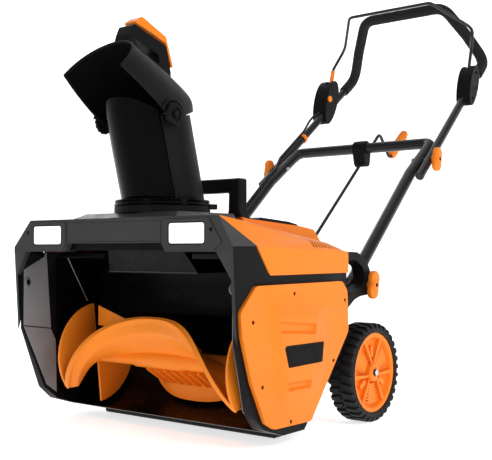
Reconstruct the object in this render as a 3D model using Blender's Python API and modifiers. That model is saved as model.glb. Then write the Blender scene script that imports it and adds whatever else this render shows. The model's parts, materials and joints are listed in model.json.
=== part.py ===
"""Single stage cordless snowblower, as separate solid pieces with real joints.

Frame: metres, +Z up, +Y from the mouth towards the operator, +X to the right of someone
facing the mouth. The origin is the bottom centre of the whole machine's box, and the
machine stands on Z = 0 on its tyres and its scraper bar.

A place in the side view is written as (depth, height): depth is measured back from the
front face of the bezel, height up from the ground.
"""
import math

import bmesh
import bpy
from mathutils import Matrix, Vector

# ---------------------------------------------------------------- driving dimensions
FRONT = -0.5580            # Y of the bezel's front face, which centres the whole box
GAP = 0.0004               # running or resting gap between neighbouring pieces
HALF_WIDTH = 0.270         # half of the housing's overall width
PLATE_OUT = 0.266          # outer face of the housing's side plates
PLATE_IN = 0.243           # inner face of the side plates, facing the auger
DECK = 0.387               # top of the flat deck round the chute
PLATFORM = 0.398           # top of the raised platform under the chute

AUGER = (0.125, 0.130)     # auger axis
AUGER_RADIUS = 0.098
SCOOP_RADIUS = 0.106
SCOOP_WALL = 0.005
FLIGHT_LEFT, FLIGHT_RIGHT = -0.172, 0.2345   # X of the two ends of the auger's flights
BLADE_ANGLE = math.radians(125)    # of the first blade's rim, up from the rear
FLIGHT_TWIST = math.radians(92)    # how far the rim winds from the middle to an end
WEB_RADIUS, WEB_LEAD = 0.078, math.radians(12)   # the web under a blade's upright rim band

MOTOR = (0.285, 0.210)     # motor axis, parallel to the auger
MOTOR_RADIUS = 0.042
AUGER_PULLEY_RADIUS = 0.055
MOTOR_PULLEY_RADIUS = 0.016
BELT_LOW, BELT_HIGH = 0.2530, 0.2615   # the belt's and pulleys' reach in X

WHEEL = (0.430, 0.095)     # wheel axis
WHEEL_RADIUS = 0.095
WHEEL_IN, WHEEL_OUT = 0.228, 0.280
AXLE_RADIUS = 0.006

CHUTE = 0.128              # depth of the chute's turning axis
CHUTE_BORE = 0.0705
CHUTE_LEAN = 0.268         # the tube moves forward this much for each metre of height
CHUTE_FOOT = 0.4230        # where the tube stands on its ring
DEFLECTOR_PIVOT = (0.063, 0.568)

RING_TEETH, PINION_TEETH = 42, 6
TOOTH_MODULE = 0.004
PINION = CHUTE + TOOTH_MODULE * (RING_TEETH + PINION_TEETH) / 2
DRIVE_HEIGHT = 0.215       # height of the fore-and-aft shaft that the crank turns

LOWER_PIVOT = (0.460, 0.2625)          # lower handle's bolts
LOWER_KNEE = (0.735, 0.5034)           # where the lower legs bend towards the crossbar
FOLD = (0.787, 0.5392)                 # upper handle's fold axis
LOWER_LEG, UPPER_LEG = 0.205, 0.2185   # X of the lower legs' bolts and of the fold's bolts
LOWER_TUBE, UPPER_TUBE = 0.013, 0.0100
LOWER_TAPER, UPPER_TAPER = -0.0322, -0.0538   # the legs' change of X with depth
UPPER_SLOPE = 0.788
GRIP_START = 1.106         # depth where the foam sleeve starts on the legs
LOOP_KNEE, LOOP_MIDDLE, LOOP_CORNER = ((0.1985, 1.1585, 0.8320), (0.1640, 1.1230, 0.9000),
                                       (0.1180, 1.0800, 0.9720))
CROSSBAR = (0.855, 0.586)
CRANK_FOOT, CRANK_TOP = (0.4745, 0.2130), (0.948, 0.6335)
CRANK_ARM = 0.080
CRANK_SLOPE = math.atan2(CRANK_TOP[1] - CRANK_FOOT[1], CRANK_TOP[0] - CRANK_FOOT[0])
BAIL_PIVOT = (1.030, 0.765)
BAIL_FOOT = 0.207
BAIL_ELBOW = (1.0540, 0.8450)
BUTTON = (1.006, 0.752)    # safety button on the inner face of the switch box

# ---------------------------------------------------------------- colours
ORANGE = ((0.90, 0.26, 0.03), 0.38, 0.0)
BLACK = ((0.022, 0.022, 0.024), 0.45, 0.0)
SOFT_BLACK = ((0.015, 0.015, 0.016), 0.85, 0.0)
GREY = ((0.055, 0.055, 0.058), 0.50, 0.0)
GLOSS_BLACK = ((0.008, 0.008, 0.009), 0.18, 0.0)
PAINTED_TUBE = ((0.020, 0.020, 0.022), 0.30, 0.2)
STEEL = ((0.56, 0.56, 0.58), 0.30, 1.0)
LENS = ((0.92, 0.94, 0.96), 0.12, 0.0)

PARTS = None
CUTTERS = None


# ---------------------------------------------------------------- scene and helpers
def clear_scene():
    """Remove what is in the scene and make the two collections."""
    global PARTS, CUTTERS
    for old in list(bpy.data.objects):
        bpy.data.objects.remove(old, do_unlink=True)
    PARTS = bpy.data.collections.new("single_stage_snowblower")
    CUTTERS = bpy.data.collections.new("cutters")
    for collection in (PARTS, CUTTERS):
        bpy.context.scene.collection.children.link(collection)


def spot(x, place):
    """World point from an X and a (depth, height)."""
    return Vector((x, FRONT + place[0], place[1]))


def paint(obj, look):
    colour, roughness, metallic = look
    name = "look_%02d%02d%02d_%02d%d" % (colour[0] * 99, colour[1] * 99, colour[2] * 99,
                                         roughness * 99, metallic * 9)
    material = bpy.data.materials.get(name)
    if material is None:
        material = bpy.data.materials.new(name)
        material.use_nodes = True
        shader = material.node_tree.nodes["Principled BSDF"]
        shader.inputs["Base Color"].default_value = (*colour, 1.0)
        shader.inputs["Roughness"].default_value = roughness
        shader.inputs["Metallic"].default_value = metallic
    obj.data.materials.clear()
    obj.data.materials.append(material)


def add_mesh(name, mesh, look=None, smooth=False):
    """Put a mesh in the scene, as a part when it has a look and else as a cutter."""
    obj = bpy.data.objects.new(name, mesh)
    mesh.name = name
    if look is None:
        CUTTERS.objects.link(obj)
        obj.hide_render = True
        obj.display_type = "WIRE"
    else:
        PARTS.objects.link(obj)
        paint(obj, look)
    if smooth:
        mesh.shade_smooth()
        mesh.set_sharp_from_angle(angle=math.radians(35))
    return obj


def from_bmesh(name, bm, look=None, smooth=False):
    bmesh.ops.recalc_face_normals(bm, faces=bm.faces)
    mesh = bpy.data.meshes.new(name)
    bm.to_mesh(mesh)
    bm.free()
    return add_mesh(name, mesh, look, smooth)


def curve_to_part(obj, look, smooth=False):
    """Turn a curve object into a welded mesh object of the same name."""
    CUTTERS.objects.link(obj)
    bpy.context.view_layer.update()
    evaluated = obj.evaluated_get(bpy.context.evaluated_depsgraph_get())
    mesh = bpy.data.meshes.new_from_object(evaluated)
    name, matrix = obj.name, obj.matrix_world.copy()
    bpy.data.objects.remove(obj, do_unlink=True)
    bm = bmesh.new()
    bm.from_mesh(mesh)
    bpy.data.meshes.remove(mesh)
    bmesh.ops.remove_doubles(bm, verts=bm.verts, dist=1e-5)
    bmesh.ops.transform(bm, matrix=matrix, verts=bm.verts)
    return from_bmesh(name, bm, look, smooth)


def rounded(points, radius, steps=3):
    """The outline with each corner replaced by an arc of the given radius."""
    result = []
    count = len(points)
    for index, here in enumerate(points):
        corner = Vector(here)
        before = Vector(points[index - 1]) - corner
        after = Vector(points[(index + 1) % count]) - corner
        half = before.angle(after) / 2
        reach = min(radius / math.tan(half), before.length * 0.45, after.length * 0.45)
        start = corner + before.normalized() * reach
        end = corner + after.normalized() * reach
        for step in range(steps + 1):
            t = step / steps
            point = start * (1 - t) ** 2 + corner * 2 * t * (1 - t) + end * t ** 2
            result.append(tuple(point))
    return result


def flat(name, outlines, plane, low, high, look=None, smooth=False):
    """A flat outline, with any holes after it, extruded from low to high.

    plane "side" takes (depth, height) and runs along X, "front" takes (x, height) and runs
    along the depth, and "top" takes (x, depth) and runs along Z.
    """
    data = bpy.data.curves.new(name, "CURVE")
    data.dimensions = "2D"
    data.fill_mode = "BOTH"
    data.extrude = (high - low) / 2
    for outline in outlines:
        spline = data.splines.new("POLY")
        spline.points.add(len(outline) - 1)
        for point, (u, v) in zip(spline.points, outline):
            point.co = (u, v, 0, 1)
        spline.use_cyclic_u = True
    obj = bpy.data.objects.new(name, data)
    middle = (low + high) / 2
    if plane == "side":
        obj.rotation_euler = (math.pi / 2, 0, math.pi / 2)
        obj.location = (middle, FRONT, 0)
    elif plane == "front":
        obj.rotation_euler = (math.pi / 2, 0, 0)
        obj.location = (0, FRONT + middle, 0)
    else:
        obj.location = (0, FRONT, middle)
    return curve_to_part(obj, look, smooth)


def box(name, low, high, look=None):
    """A box between two (x, depth, height) corners."""
    bm = bmesh.new()
    bmesh.ops.create_cube(bm, size=1.0)
    size = [h - l for l, h in zip(low, high)]
    middle = [(h + l) / 2 for l, h in zip(low, high)]
    bmesh.ops.scale(bm, vec=size, verts=bm.verts)
    bmesh.ops.translate(bm, vec=(middle[0], FRONT + middle[1], middle[2]), verts=bm.verts)
    return from_bmesh(name, bm, look)


def rod(name, start, end, radius, look=None, steps=16, radius_end=None):
    """A cylinder or cone between two world points."""
    start, end = Vector(start), Vector(end)
    along = end - start
    bm = bmesh.new()
    bmesh.ops.create_cone(bm, cap_ends=True, segments=steps, radius1=radius,
                          radius2=radius if radius_end is None else radius_end,
                          depth=along.length)
    turn = Vector((0, 0, 1)).rotation_difference(along).to_matrix().to_4x4()
    move = Matrix.Translation((start + end) / 2)
    bmesh.ops.transform(bm, matrix=move @ turn, verts=bm.verts)
    return from_bmesh(name, bm, look, smooth=True)


def across(name, place, x_low, x_high, radius, look=None, steps=16):
    """A cylinder along X."""
    return rod(name, spot(x_low, place), spot(x_high, place), radius, look, steps)


def upright(name, depth, low, high, radius, look=None, steps=16, x=0.0):
    """A cylinder along Z."""
    return rod(name, spot(x, (depth, low)), spot(x, (depth, high)), radius, look, steps)


def tube(name, points, radius, look=None, sides=2):
    """A round bar through world points."""
    data = bpy.data.curves.new(name, "CURVE")
    data.dimensions = "3D"
    data.bevel_depth = radius
    data.bevel_resolution = sides
    data.use_fill_caps = True
    spline = data.splines.new("POLY")
    spline.points.add(len(points) - 1)
    for point, place in zip(spline.points, points):
        point.co = (*place, 1)
    return curve_to_part(bpy.data.objects.new(name, data), look, smooth=True)


def bent(points, radius, steps=5):
    """The path through world points with its inner corners rounded."""
    result = [Vector(points[0])]
    for before, here, after in zip(points, points[1:], points[2:]):
        corner = Vector(here)
        back, forward = Vector(before) - corner, Vector(after) - corner
        half = back.angle(forward) / 2
        reach = min(radius / math.tan(half), back.length * 0.48, forward.length * 0.48)
        start = corner + back.normalized() * reach
        end = corner + forward.normalized() * reach
        for step in range(steps + 1):
            t = step / steps
            result.append(start * (1 - t) ** 2 + corner * 2 * t * (1 - t) + end * t ** 2)
    result.append(Vector(points[-1]))
    return result


def turned(name, profile, centre, axis, look=None, steps=32):
    """A closed profile of (radius, offset) pairs turned about an axis through centre.

    The profile runs down its outer side first, and offset is measured along the axis.
    """
    mesh = bpy.data.meshes.new(name)
    vertices = [(radius, 0, offset) for radius, offset in profile]
    closed = profile[0][0] > 1e-6
    edges = [(i, i + 1) for i in range(len(profile) - 1)]
    if closed:
        edges.append((len(profile) - 1, 0))
    mesh.from_pydata(vertices, edges, [])
    obj = add_mesh(name, mesh, look)
    screw = obj.modifiers.new("turn", "SCREW")
    screw.steps = steps
    screw.render_steps = steps
    screw.use_merge_vertices = True
    screw.merge_threshold = 0.00001
    obj.rotation_mode = "QUATERNION"
    obj.rotation_quaternion = Vector((0, 0, 1)).rotation_difference(Vector(axis))
    obj.location = centre
    return obj


def hull(name, points, look=None):
    """The convex solid round (x, depth, height) points."""
    bm = bmesh.new()
    for x, depth, height in points:
        bm.verts.new((x, FRONT + depth, height))
    result = bmesh.ops.convex_hull(bm, input=bm.verts)
    loose = {g for g in result["geom_interior"] + result["geom_unused"]
             if isinstance(g, bmesh.types.BMVert)}
    bmesh.ops.delete(bm, geom=list(loose), context="VERTS")
    bmesh.ops.dissolve_limit(bm, angle_limit=0.001, verts=bm.verts, edges=bm.edges)
    return from_bmesh(name, bm, look)


def boolean(obj, other, operation):
    modifier = obj.modifiers.new(operation.lower() + "_" + other.name, "BOOLEAN")
    modifier.operation = operation
    modifier.solver = "EXACT"
    modifier.object = other
    return obj


def cut(obj, *others):
    for other in others:
        boolean(obj, other, "DIFFERENCE")
    return obj


def join(obj, *others):
    for other in others:
        boolean(obj, other, "UNION")
    return obj


def bevel(obj, width, segments=1):
    modifier = obj.modifiers.new("edges", "BEVEL")
    modifier.width = width
    modifier.segments = segments
    modifier.limit_method = "ANGLE"
    modifier.angle_limit = math.radians(40)
    return obj


def pivot(obj, centre):
    """Move an object's origin to its joint axis without moving its mesh."""
    bpy.context.view_layer.update()
    shift = Vector(centre) - obj.matrix_world.translation
    obj.data.transform(Matrix.Translation(-shift))
    obj.location = Vector(obj.location) + shift
    return obj


def sheet(name, rows, thickness, look=None, offset=-1.0, smooth=True):
    """A skin through a grid of (x, depth, height) points, thickened to one side."""
    bm = bmesh.new()
    grid = [[bm.verts.new(spot(x, (d, h))) for x, d, h in row] for row in rows]
    for upper, lower in zip(grid, grid[1:]):
        for a, b, c, d in zip(upper, upper[1:], lower[1:], lower):
            bm.faces.new((a, b, c, d))
    mesh = bpy.data.meshes.new(name)
    bm.to_mesh(mesh)
    bm.free()
    obj = add_mesh(name, mesh, look, smooth)
    solid = obj.modifiers.new("wall", "SOLIDIFY")
    solid.thickness = thickness
    solid.offset = offset
    solid.use_even_offset = True
    return obj


def both_sides(make):
    """Call make(side, sign) for the right (+X) and the left (-X) side."""
    for side, sign in (("right", 1), ("left", -1)):
        make(side, sign)


def span(sign, low, high):
    """The X range low..high on the right side, or its mirror on the left."""
    return (low, high) if sign > 0 else (-high, -low)


def two_circles(first, radius_a, second, radius_b, steps=14):
    """The outline of a band round two circles."""
    a, b = Vector(first), Vector(second)
    between = b - a
    tilt = math.atan2(between.y, between.x)
    lean = math.acos((radius_a - radius_b) / between.length)
    outline = []
    for centre, radius, start, end in ((a, radius_a, lean, 2 * math.pi - lean),
                                       (b, radius_b, -lean, lean)):
        for step in range(steps + 1):
            angle = tilt + start + (end - start) * step / steps
            outline.append((centre.x + radius * math.cos(angle),
                            centre.y + radius * math.sin(angle)))
    return outline


def gear_outline(centre, teeth, module, turn=0.0):
    """A gear's outline with slim straight-sided teeth and generous backlash."""
    root = module * teeth / 2 - 0.0030
    tip = module * teeth / 2 + 0.0019
    outline = []
    for tooth in range(teeth):
        for share, radius in ((-0.25, root), (-0.12, tip), (0.12, tip), (0.25, root)):
            angle = turn + 2 * math.pi * (tooth + share) / teeth
            outline.append((centre[0] + radius * math.cos(angle),
                            centre[1] + radius * math.sin(angle)))
    return outline


# ---------------------------------------------------------------- housing
SIDE_OUTLINE = [(0.0124, 0.327), (0.0124, 0.180), (0.057, 0.063), (0.086, 0.037),
                (0.140, 0.0195), (0.204, 0.0195), (0.345, 0.174), (0.345, 0.317)]


def scoop_arc(radius, start, end, steps=12):
    """Points on a circle round the auger, from one angle to another in degrees."""
    turns = [math.radians(start + (end - start) * i / steps) for i in range(steps + 1)]
    return [(AUGER[0] + radius * math.cos(a), AUGER[1] + radius * math.sin(a)) for a in turns]


def make_housing():
    housing = flat("auger_housing", [SIDE_OUTLINE], "side", -PLATE_OUT, PLATE_OUT, BLACK)
    mouth = [(-0.02, 0.3155), (-0.02, -0.02), (AUGER[0], -0.02)]
    mouth += scoop_arc(SCOOP_RADIUS, -90, 48)
    mouth += [(0.207, 0.258), (0.200, 0.3155)]
    bay = scoop_arc(SCOOP_RADIUS + SCOOP_WALL, -20, 46)
    bay += [(0.212, 0.258), (0.205, 0.330), (0.205, 0.400), (0.340, 0.400), (0.340, 0.186),
            (0.240, 0.078)]
    cut(housing,
        flat("cut_mouth", [mouth], "side", -PLATE_IN, PLATE_IN),
        flat("cut_bay", [bay], "side", -PLATE_IN, PLATE_IN),
        flat("cut_flare", [[(-0.268, -0.02), (0.268, -0.02), (0.242, 0.084), (-0.242, 0.084)]],
             "top", -0.03, 0.3500),
        box("cut_throat", (-0.112, -0.02, 0.290), (0.112, 0.200, 0.400)),
        box("cut_rear_window", (-0.122, 0.330, 0.195), (0.122, 0.360, 0.400)),
        flat("cut_belt_pocket", [two_circles(AUGER, 0.063, MOTOR, 0.027)], "side", 0.2490, 0.280),
        across("cut_auger_bearings", AUGER, -0.255, 0.255, 0.0165),
        across("cut_motor_shaft", MOTOR, 0.200, 0.255, 0.0070, steps=12))
    # two pads under the floor carry the scraper bar
    bar = box("scraper_bar", (-0.215, 0.186, 0.0), (0.215, 0.214, 0.0188), SOFT_BLACK)
    bevel(bar, 0.003)


def make_side_covers():
    outline = rounded([(0.057, 0.273), (0.319, 0.274), (0.336, 0.255), (0.339, 0.181),
                       (0.214, 0.034), (0.106, 0.036), (0.081, 0.049), (0.045, 0.118),
                       (0.020, 0.193), (0.015, 0.232)], 0.012, 2)
    label = [(0.134, 0.171), (0.251, 0.170), (0.246, 0.135), (0.150, 0.134)]

    def cover(side, sign):
        x_low, x_high = span(sign, PLATE_OUT + GAP, 0.2735)
        flat("side_cover_" + side, [outline], "side", x_low, x_high, ORANGE)

    both_sides(cover)
    flat("label_plate", [label], "side", 0.2735 + GAP, 0.2748, BLACK)


def make_bezel():
    half = [(0.2225, DECK), (HALF_WIDTH, 0.337), (HALF_WIDTH, 0.180), (0.264, 0.200),
            (0.264, 0.284), (0.236, 0.328), (0.126, 0.328), (0.116, 0.343)]
    outline = half + [(-x, z) for x, z in reversed(half)]
    bezel = flat("front_bezel", [outline], "front", 0.0, 0.012, GREY)
    lens = rounded([(0.1345, 0.3415), (0.2115, 0.3415), (0.2115, 0.3757), (0.1345, 0.3757)],
                   0.005, 2)
    deck = [(0.2225, 0.0), (0.2330, 0.0096), (0.120, 0.1995)]
    deck_outline = deck + [(-x, d) for x, d in reversed(deck)]
    join(bezel,
         flat("deck", [deck_outline], "top", DECK - 0.008, DECK),
         hull("platform", [(x * s, d, z) for s in (1, -1) for x, d, z in
                           ((0.135, 0.012, 0.383), (0.115, 0.045, PLATFORM),
                            (0.135, 0.1745, 0.383), (0.112, 0.1995, PLATFORM),
                            (0.120, 0.1995, 0.383))]))

    skirt_outline = [(0.0020, 0.3370), (0.0600, 0.3370), (0.0950, 0.2895), (0.0950, 0.2780),
                     (0.0555, 0.2770), (0.0112, 0.2335), (0.0070, 0.2335)]

    def side(word, sign):
        x_low, x_high = span(sign, 0.1262, 0.2190)
        pod = box("pod_" + word, (x_low, 0.006, 0.3282), (x_high, 0.030, 0.383))
        shoulder = hull("shoulder_" + word,
                        [(sign * (x - dx), d, z - dz) for dx, dz in ((0, 0), (0.0036, 0.0027))
                         for x, d, z in ((0.2225, 0.0, DECK), (HALF_WIDTH, 0.0, 0.337),
                                         (HALF_WIDTH, 0.0635, 0.337), (0.2330, 0.0092, DECK))])
        skirt_low, skirt_high = span(sign, PLATE_OUT + GAP, HALF_WIDTH)
        skirt = flat("skirt_" + word, [skirt_outline], "side", skirt_low, skirt_high)
        join(bezel, pod, shoulder, skirt)
        mirrored = [(sign * x, z) for x, z in lens]
        cut(bezel, flat("cut_lens_" + word, [mirrored], "front", -0.01, 0.0105))
        middle = Vector((sign * 0.173, 0.3586))
        inset = [tuple(middle + (Vector(p) - middle) * 0.985) for p in mirrored]
        flat("headlight_lens_" + word, [inset], "front", 0.0010, 0.0100, LENS)

    both_sides(side)
    taper = [(-0.02, 0.326), (0.0004, 0.326), (0.0095, 0.183), (0.0095, 0.170), (-0.02, 0.170)]
    cut(bezel, upright("cut_chute_hole", CHUTE, 0.36, 0.42, CHUTE_BORE, steps=32),
        flat("cut_lip_taper", [taper], "side", -0.28, 0.28))


def make_funnel():
    outer = [(x * s, d, z) for s in (1, -1) for x, d, z in
             ((0.0735, 0.0545, 0.3785), (0.0735, 0.1990, 0.3785),
              (0.1115, 0.1005, 0.2900), (0.1115, 0.1990, 0.2900))]
    inner = [(x * s, d, z) for s in (1, -1) for x, d, z in
             ((0.0702, 0.0578, 0.3790), (0.0702, 0.1960, 0.3790),
              (0.1085, 0.1035, 0.2895), (0.1085, 0.1960, 0.2895))]
    cut(hull("discharge_funnel", outer, BLACK), hull("cut_funnel", inner))


def make_hood():
    top = [(0.2005, 0.3915), (0.225, 0.389), (0.390, 0.379), (0.440, 0.373), (0.465, 0.3495),
           (0.465, 0.301)]
    solid = top + [(0.3460, 0.301), (0.3460, 0.320), (0.205, 0.320), (0.205, 0.388)]
    hood = flat("top_hood", [solid], "side", -0.130, 0.130, ORANGE)
    hollow = [(0.190, 0.388), (0.224, 0.3855), (0.390, 0.3755), (0.438, 0.3695),
              (0.4615, 0.348), (0.4615, 0.290), (0.190, 0.290)]
    cut(hood, flat("cut_tunnel", [hollow], "side", -0.127, 0.127),
        box("cut_tunnel_front", (-0.140, 0.180, 0.310), (0.140, 0.204, 0.3790)))

    def wing(word, sign):
        outer = ((0.2700, 0.0994, 0.289), (0.2700, 0.345, 0.289), (0.2700, 0.0644, 0.337),
                 (0.2700, 0.345, 0.326), (0.2334, 0.0104, DECK), (0.222, 0.345, 0.345),
                 (0.1265, 0.1990, DECK), (0.1265, 0.345, 0.352), (0.1265, 0.205, 0.322),
                 (0.1265, 0.345, 0.3178), (0.2450, 0.345, 0.289))
        inner = ((0.2664, 0.090, 0.280), (0.2664, 0.3418, 0.280), (0.2664, 0.066, 0.334),
                 (0.2664, 0.3418, 0.3220), (0.2300, 0.018, 0.3835), (0.2200, 0.3418, 0.3414),
                 (0.100, 0.1990, 0.3835), (0.100, 0.3418, 0.3485), (0.100, 0.180, 0.280),
                 (0.100, 0.3418, 0.280), (0.2200, 0.010, 0.330), (0.1200, 0.190, 0.300))
        shell = hull("wing_" + word, [(sign * x, d, z) for x, d, z in outer])
        hollow_wing = hull("cut_wing_" + word, [(sign * x, d, z) for x, d, z in inner])
        cut(shell, hollow_wing)
        join(hood, shell)

    both_sides(wing)
    cut(hood,
        flat("cut_over_housing", [[(-0.02, 0.28), (0.3458, 0.28), (0.3458, 0.3178),
                                   (0.0124, 0.3276), (-0.02, 0.3276)]],
             "side", -0.2664, 0.2664),
        box("cut_battery_mouth", (-0.0820, 0.2905, 0.350), (0.0820, 0.4120, 0.420)),
        upright("cut_pinion_shaft", PINION, 0.370, 0.410, 0.0052, steps=12))


def make_rear_body():
    outer = [(0.3454, 0.3000), (0.3454, 0.190), (0.397, 0.110), (0.408, 0.070), (0.452, 0.070),
             (0.4600, 0.120), (0.4660, 0.3000)]
    inner = [(0.3504, 0.2955), (0.3504, 0.194), (0.402, 0.114), (0.4125, 0.076),
             (0.448, 0.076), (0.4550, 0.120), (0.4610, 0.2955)]
    body = flat("rear_body", [outer], "side", -0.188, 0.188, BLACK)
    cut(body,
        flat("cut_body", [inner], "side", -0.183, 0.183),
        box("cut_body_top", (-0.122, 0.3504, 0.280), (0.122, 0.4605, 0.320)),
        box("cut_body_front", (-0.122, 0.340, 0.1990), (0.122, 0.356, 0.320)),
        across("cut_axle_hole", WHEEL, -0.2, 0.2, AXLE_RADIUS + GAP),
        rod("cut_shaft_hole", spot(0, (0.45, DRIVE_HEIGHT)), spot(0, (0.48, DRIVE_HEIGHT)),
            0.0095))
    across("wheel_axle", WHEEL, -0.2815, 0.2815, AXLE_RADIUS, STEEL)


def make_power():
    """Battery, its cradle and lid, the motor, pulleys and belt."""
    cradle = box("battery_cradle", (-0.078, 0.292, 0.240), (0.078, 0.410, 0.345), BLACK)
    cut(cradle, box("cut_cradle", (-0.0735, 0.296, 0.246), (0.0735, 0.406, 0.360)))
    pack = box("battery_pack", (-0.0725, 0.297, 0.2465), (0.0725, 0.405, 0.3640), SOFT_BLACK)
    bevel(pack, 0.006)
    lid_side = [(0.2850, 0.3860), (0.2850, 0.3915), (0.2950, 0.3945), (0.3900, 0.3885),
                (0.4200, 0.3835), (0.4200, 0.3763), (0.3900, 0.3798)]
    lid = flat("battery_lid", [lid_side], "side", -0.1050, 0.1050, BLACK)
    pivot(lid, spot(0, (0.420, 0.380)))

    can = [(0.0, 0.060), (0.018, 0.060), (0.018, 0.056), (0.039, 0.056), (MOTOR_RADIUS, 0.050),
           (MOTOR_RADIUS, -0.050), (0.036, -0.060), (0.0, -0.060)]
    turned("motor", can, spot(0.165, MOTOR), (1, 0, 0), STEEL, 28)
    across("motor_shaft", MOTOR, 0.2255, 0.2625, 0.0050, STEEL, 12)

    def pulley(name, place, radius, bore):
        profile = [(bore, BELT_HIGH), (radius, BELT_HIGH), (radius, BELT_LOW), (bore, BELT_LOW)]
        turned(name, profile, spot(0, place), (1, 0, 0), STEEL, 32)

    pulley("motor_pulley", MOTOR, MOTOR_PULLEY_RADIUS, 0.0050 + GAP)
    pulley("auger_pulley", AUGER, AUGER_PULLEY_RADIUS, 0.0090 + GAP)
    band = [two_circles(AUGER, AUGER_PULLEY_RADIUS + rim, MOTOR, MOTOR_PULLEY_RADIUS + rim)
            for rim in (0.0044, 0.0006)]
    flat("drive_belt", band, "side", BELT_LOW + 0.001, BELT_HIGH - 0.001, SOFT_BLACK)


# ---------------------------------------------------------------- auger
def make_auger():
    """Two blades whose flights wind back towards both ends, closed there by end plates."""
    rows = 44
    middle = (FLIGHT_LEFT + FLIGHT_RIGHT) / 2
    half = (FLIGHT_RIGHT - FLIGHT_LEFT) / 2

    def flight_angle(x, start):
        return start + FLIGHT_TWIST * (abs(x - middle) / half) ** 2.3

    def blade(name, start, look=None):
        bm = bmesh.new()
        rings = []
        for row in range(rows + 1):
            x = middle + half * (2 * row / rows - 1)
            tip = flight_angle(x, start)
            web = tip + WEB_LEAD
            path = [(0.0140, web), (WEB_RADIUS, web), (AUGER_RADIUS, tip)]
            side = (-math.sin(tip), math.cos(tip))
            # where the flight winds, its thickness also lies partly along X
            skew = -math.copysign(0.0022 * min(1.0, abs(x - middle) / 0.05), x - middle)
            corners = []
            for sign, order in ((1, path), (-1, reversed(path))):
                for radius, angle in order:
                    corners.append(spot(x + sign * skew,
                                        (AUGER[0] + radius * math.cos(angle) + sign * 0.002 * side[0],
                                         AUGER[1] + radius * math.sin(angle) + sign * 0.002 * side[1])))
            rings.append([bm.verts.new(c) for c in corners])
        for first, second in zip(rings, rings[1:]):
            for i in range(6):
                j = (i + 1) % 6
                bm.faces.new((first[i], first[j], second[j], second[i]))
        bm.faces.new(rings[0])
        bm.faces.new(rings[-1])
        bmesh.ops.triangulate(bm, faces=bm.faces)
        return from_bmesh(name, bm, look)

    def end_plate(name, x, start, sweep):
        """A disc sector from the end of a flight back over its sweep."""
        last = start + FLIGHT_TWIST + math.radians(3)
        arc = [last - sweep * i / 10 for i in range(11)]
        outline = [(AUGER[0] + r * math.cos(a), AUGER[1] + r * math.sin(a))
                   for r, angles in ((AUGER_RADIUS - 0.0005, arc), (0.0135, reversed(arc)))
                   for a in angles]
        return flat(name, [outline], "side", x - 0.0022, x + 0.0022)

    rotor = blade("auger_rotor", BLADE_ANGLE, ORANGE)
    join(rotor, blade("blade_two", BLADE_ANGLE + math.pi),
         across("auger_hub", AUGER, -0.2375, 0.2375, 0.0190, steps=20))
    for number, start in enumerate((BLADE_ANGLE, BLADE_ANGLE + math.pi)):
        join(rotor, end_plate("left_end_%d" % number, FLIGHT_LEFT, start, math.radians(124)),
             end_plate("right_end_%d" % number, FLIGHT_RIGHT, start, math.radians(74)))
    cut(rotor, across("cut_auger_bore", AUGER, -0.26, 0.26, 0.0090 + GAP, steps=20))
    pivot(rotor, spot(0, AUGER))
    across("auger_shaft", AUGER, -0.2540, 0.2640, 0.0090, STEEL, 20)

    def bearing(word, sign):
        x_low, x_high = span(sign, PLATE_IN - 0.003, 0.2488)
        profile = [(0.0096, x_high), (0.0160, x_high), (0.0160, x_low), (0.0096, x_low)]
        turned("auger_bearing_" + word, profile, spot(0, AUGER), (1, 0, 0), STEEL, 24)

    both_sides(bearing)


# ---------------------------------------------------------------- wheels
def make_wheels():
    def wheel(word, sign):
        middle = sign * (WHEEL_IN + WHEEL_OUT) / 2
        half = (WHEEL_OUT - WHEEL_IN) / 2
        r = WHEEL_RADIUS
        tread = [(0.0768, half - 0.002), (r - 0.010, half), (r - 0.002, half - 0.007),
                 (r, half - 0.013), (r, -half + 0.013), (r - 0.002, -half + 0.007),
                 (r - 0.010, -half), (0.0768, -half + 0.002)]
        turned("tyre_" + word, tread, spot(middle, WHEEL), (1, 0, 0), SOFT_BLACK, 32)
        bore = AXLE_RADIUS + GAP
        disc = [(bore, 0.0235), (0.020, 0.0235), (0.024, 0.016), (0.066, 0.016), (0.070, 0.021),
                (0.0764, 0.021), (0.0764, -0.021), (0.070, -0.021), (0.066, 0.006),
                (0.020, 0.006), (0.017, -0.024), (bore, -0.024)]
        turned("wheel_hub_" + word, disc, spot(middle, WHEEL), (sign, 0, 0), ORANGE, 28)

    both_sides(wheel)


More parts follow.
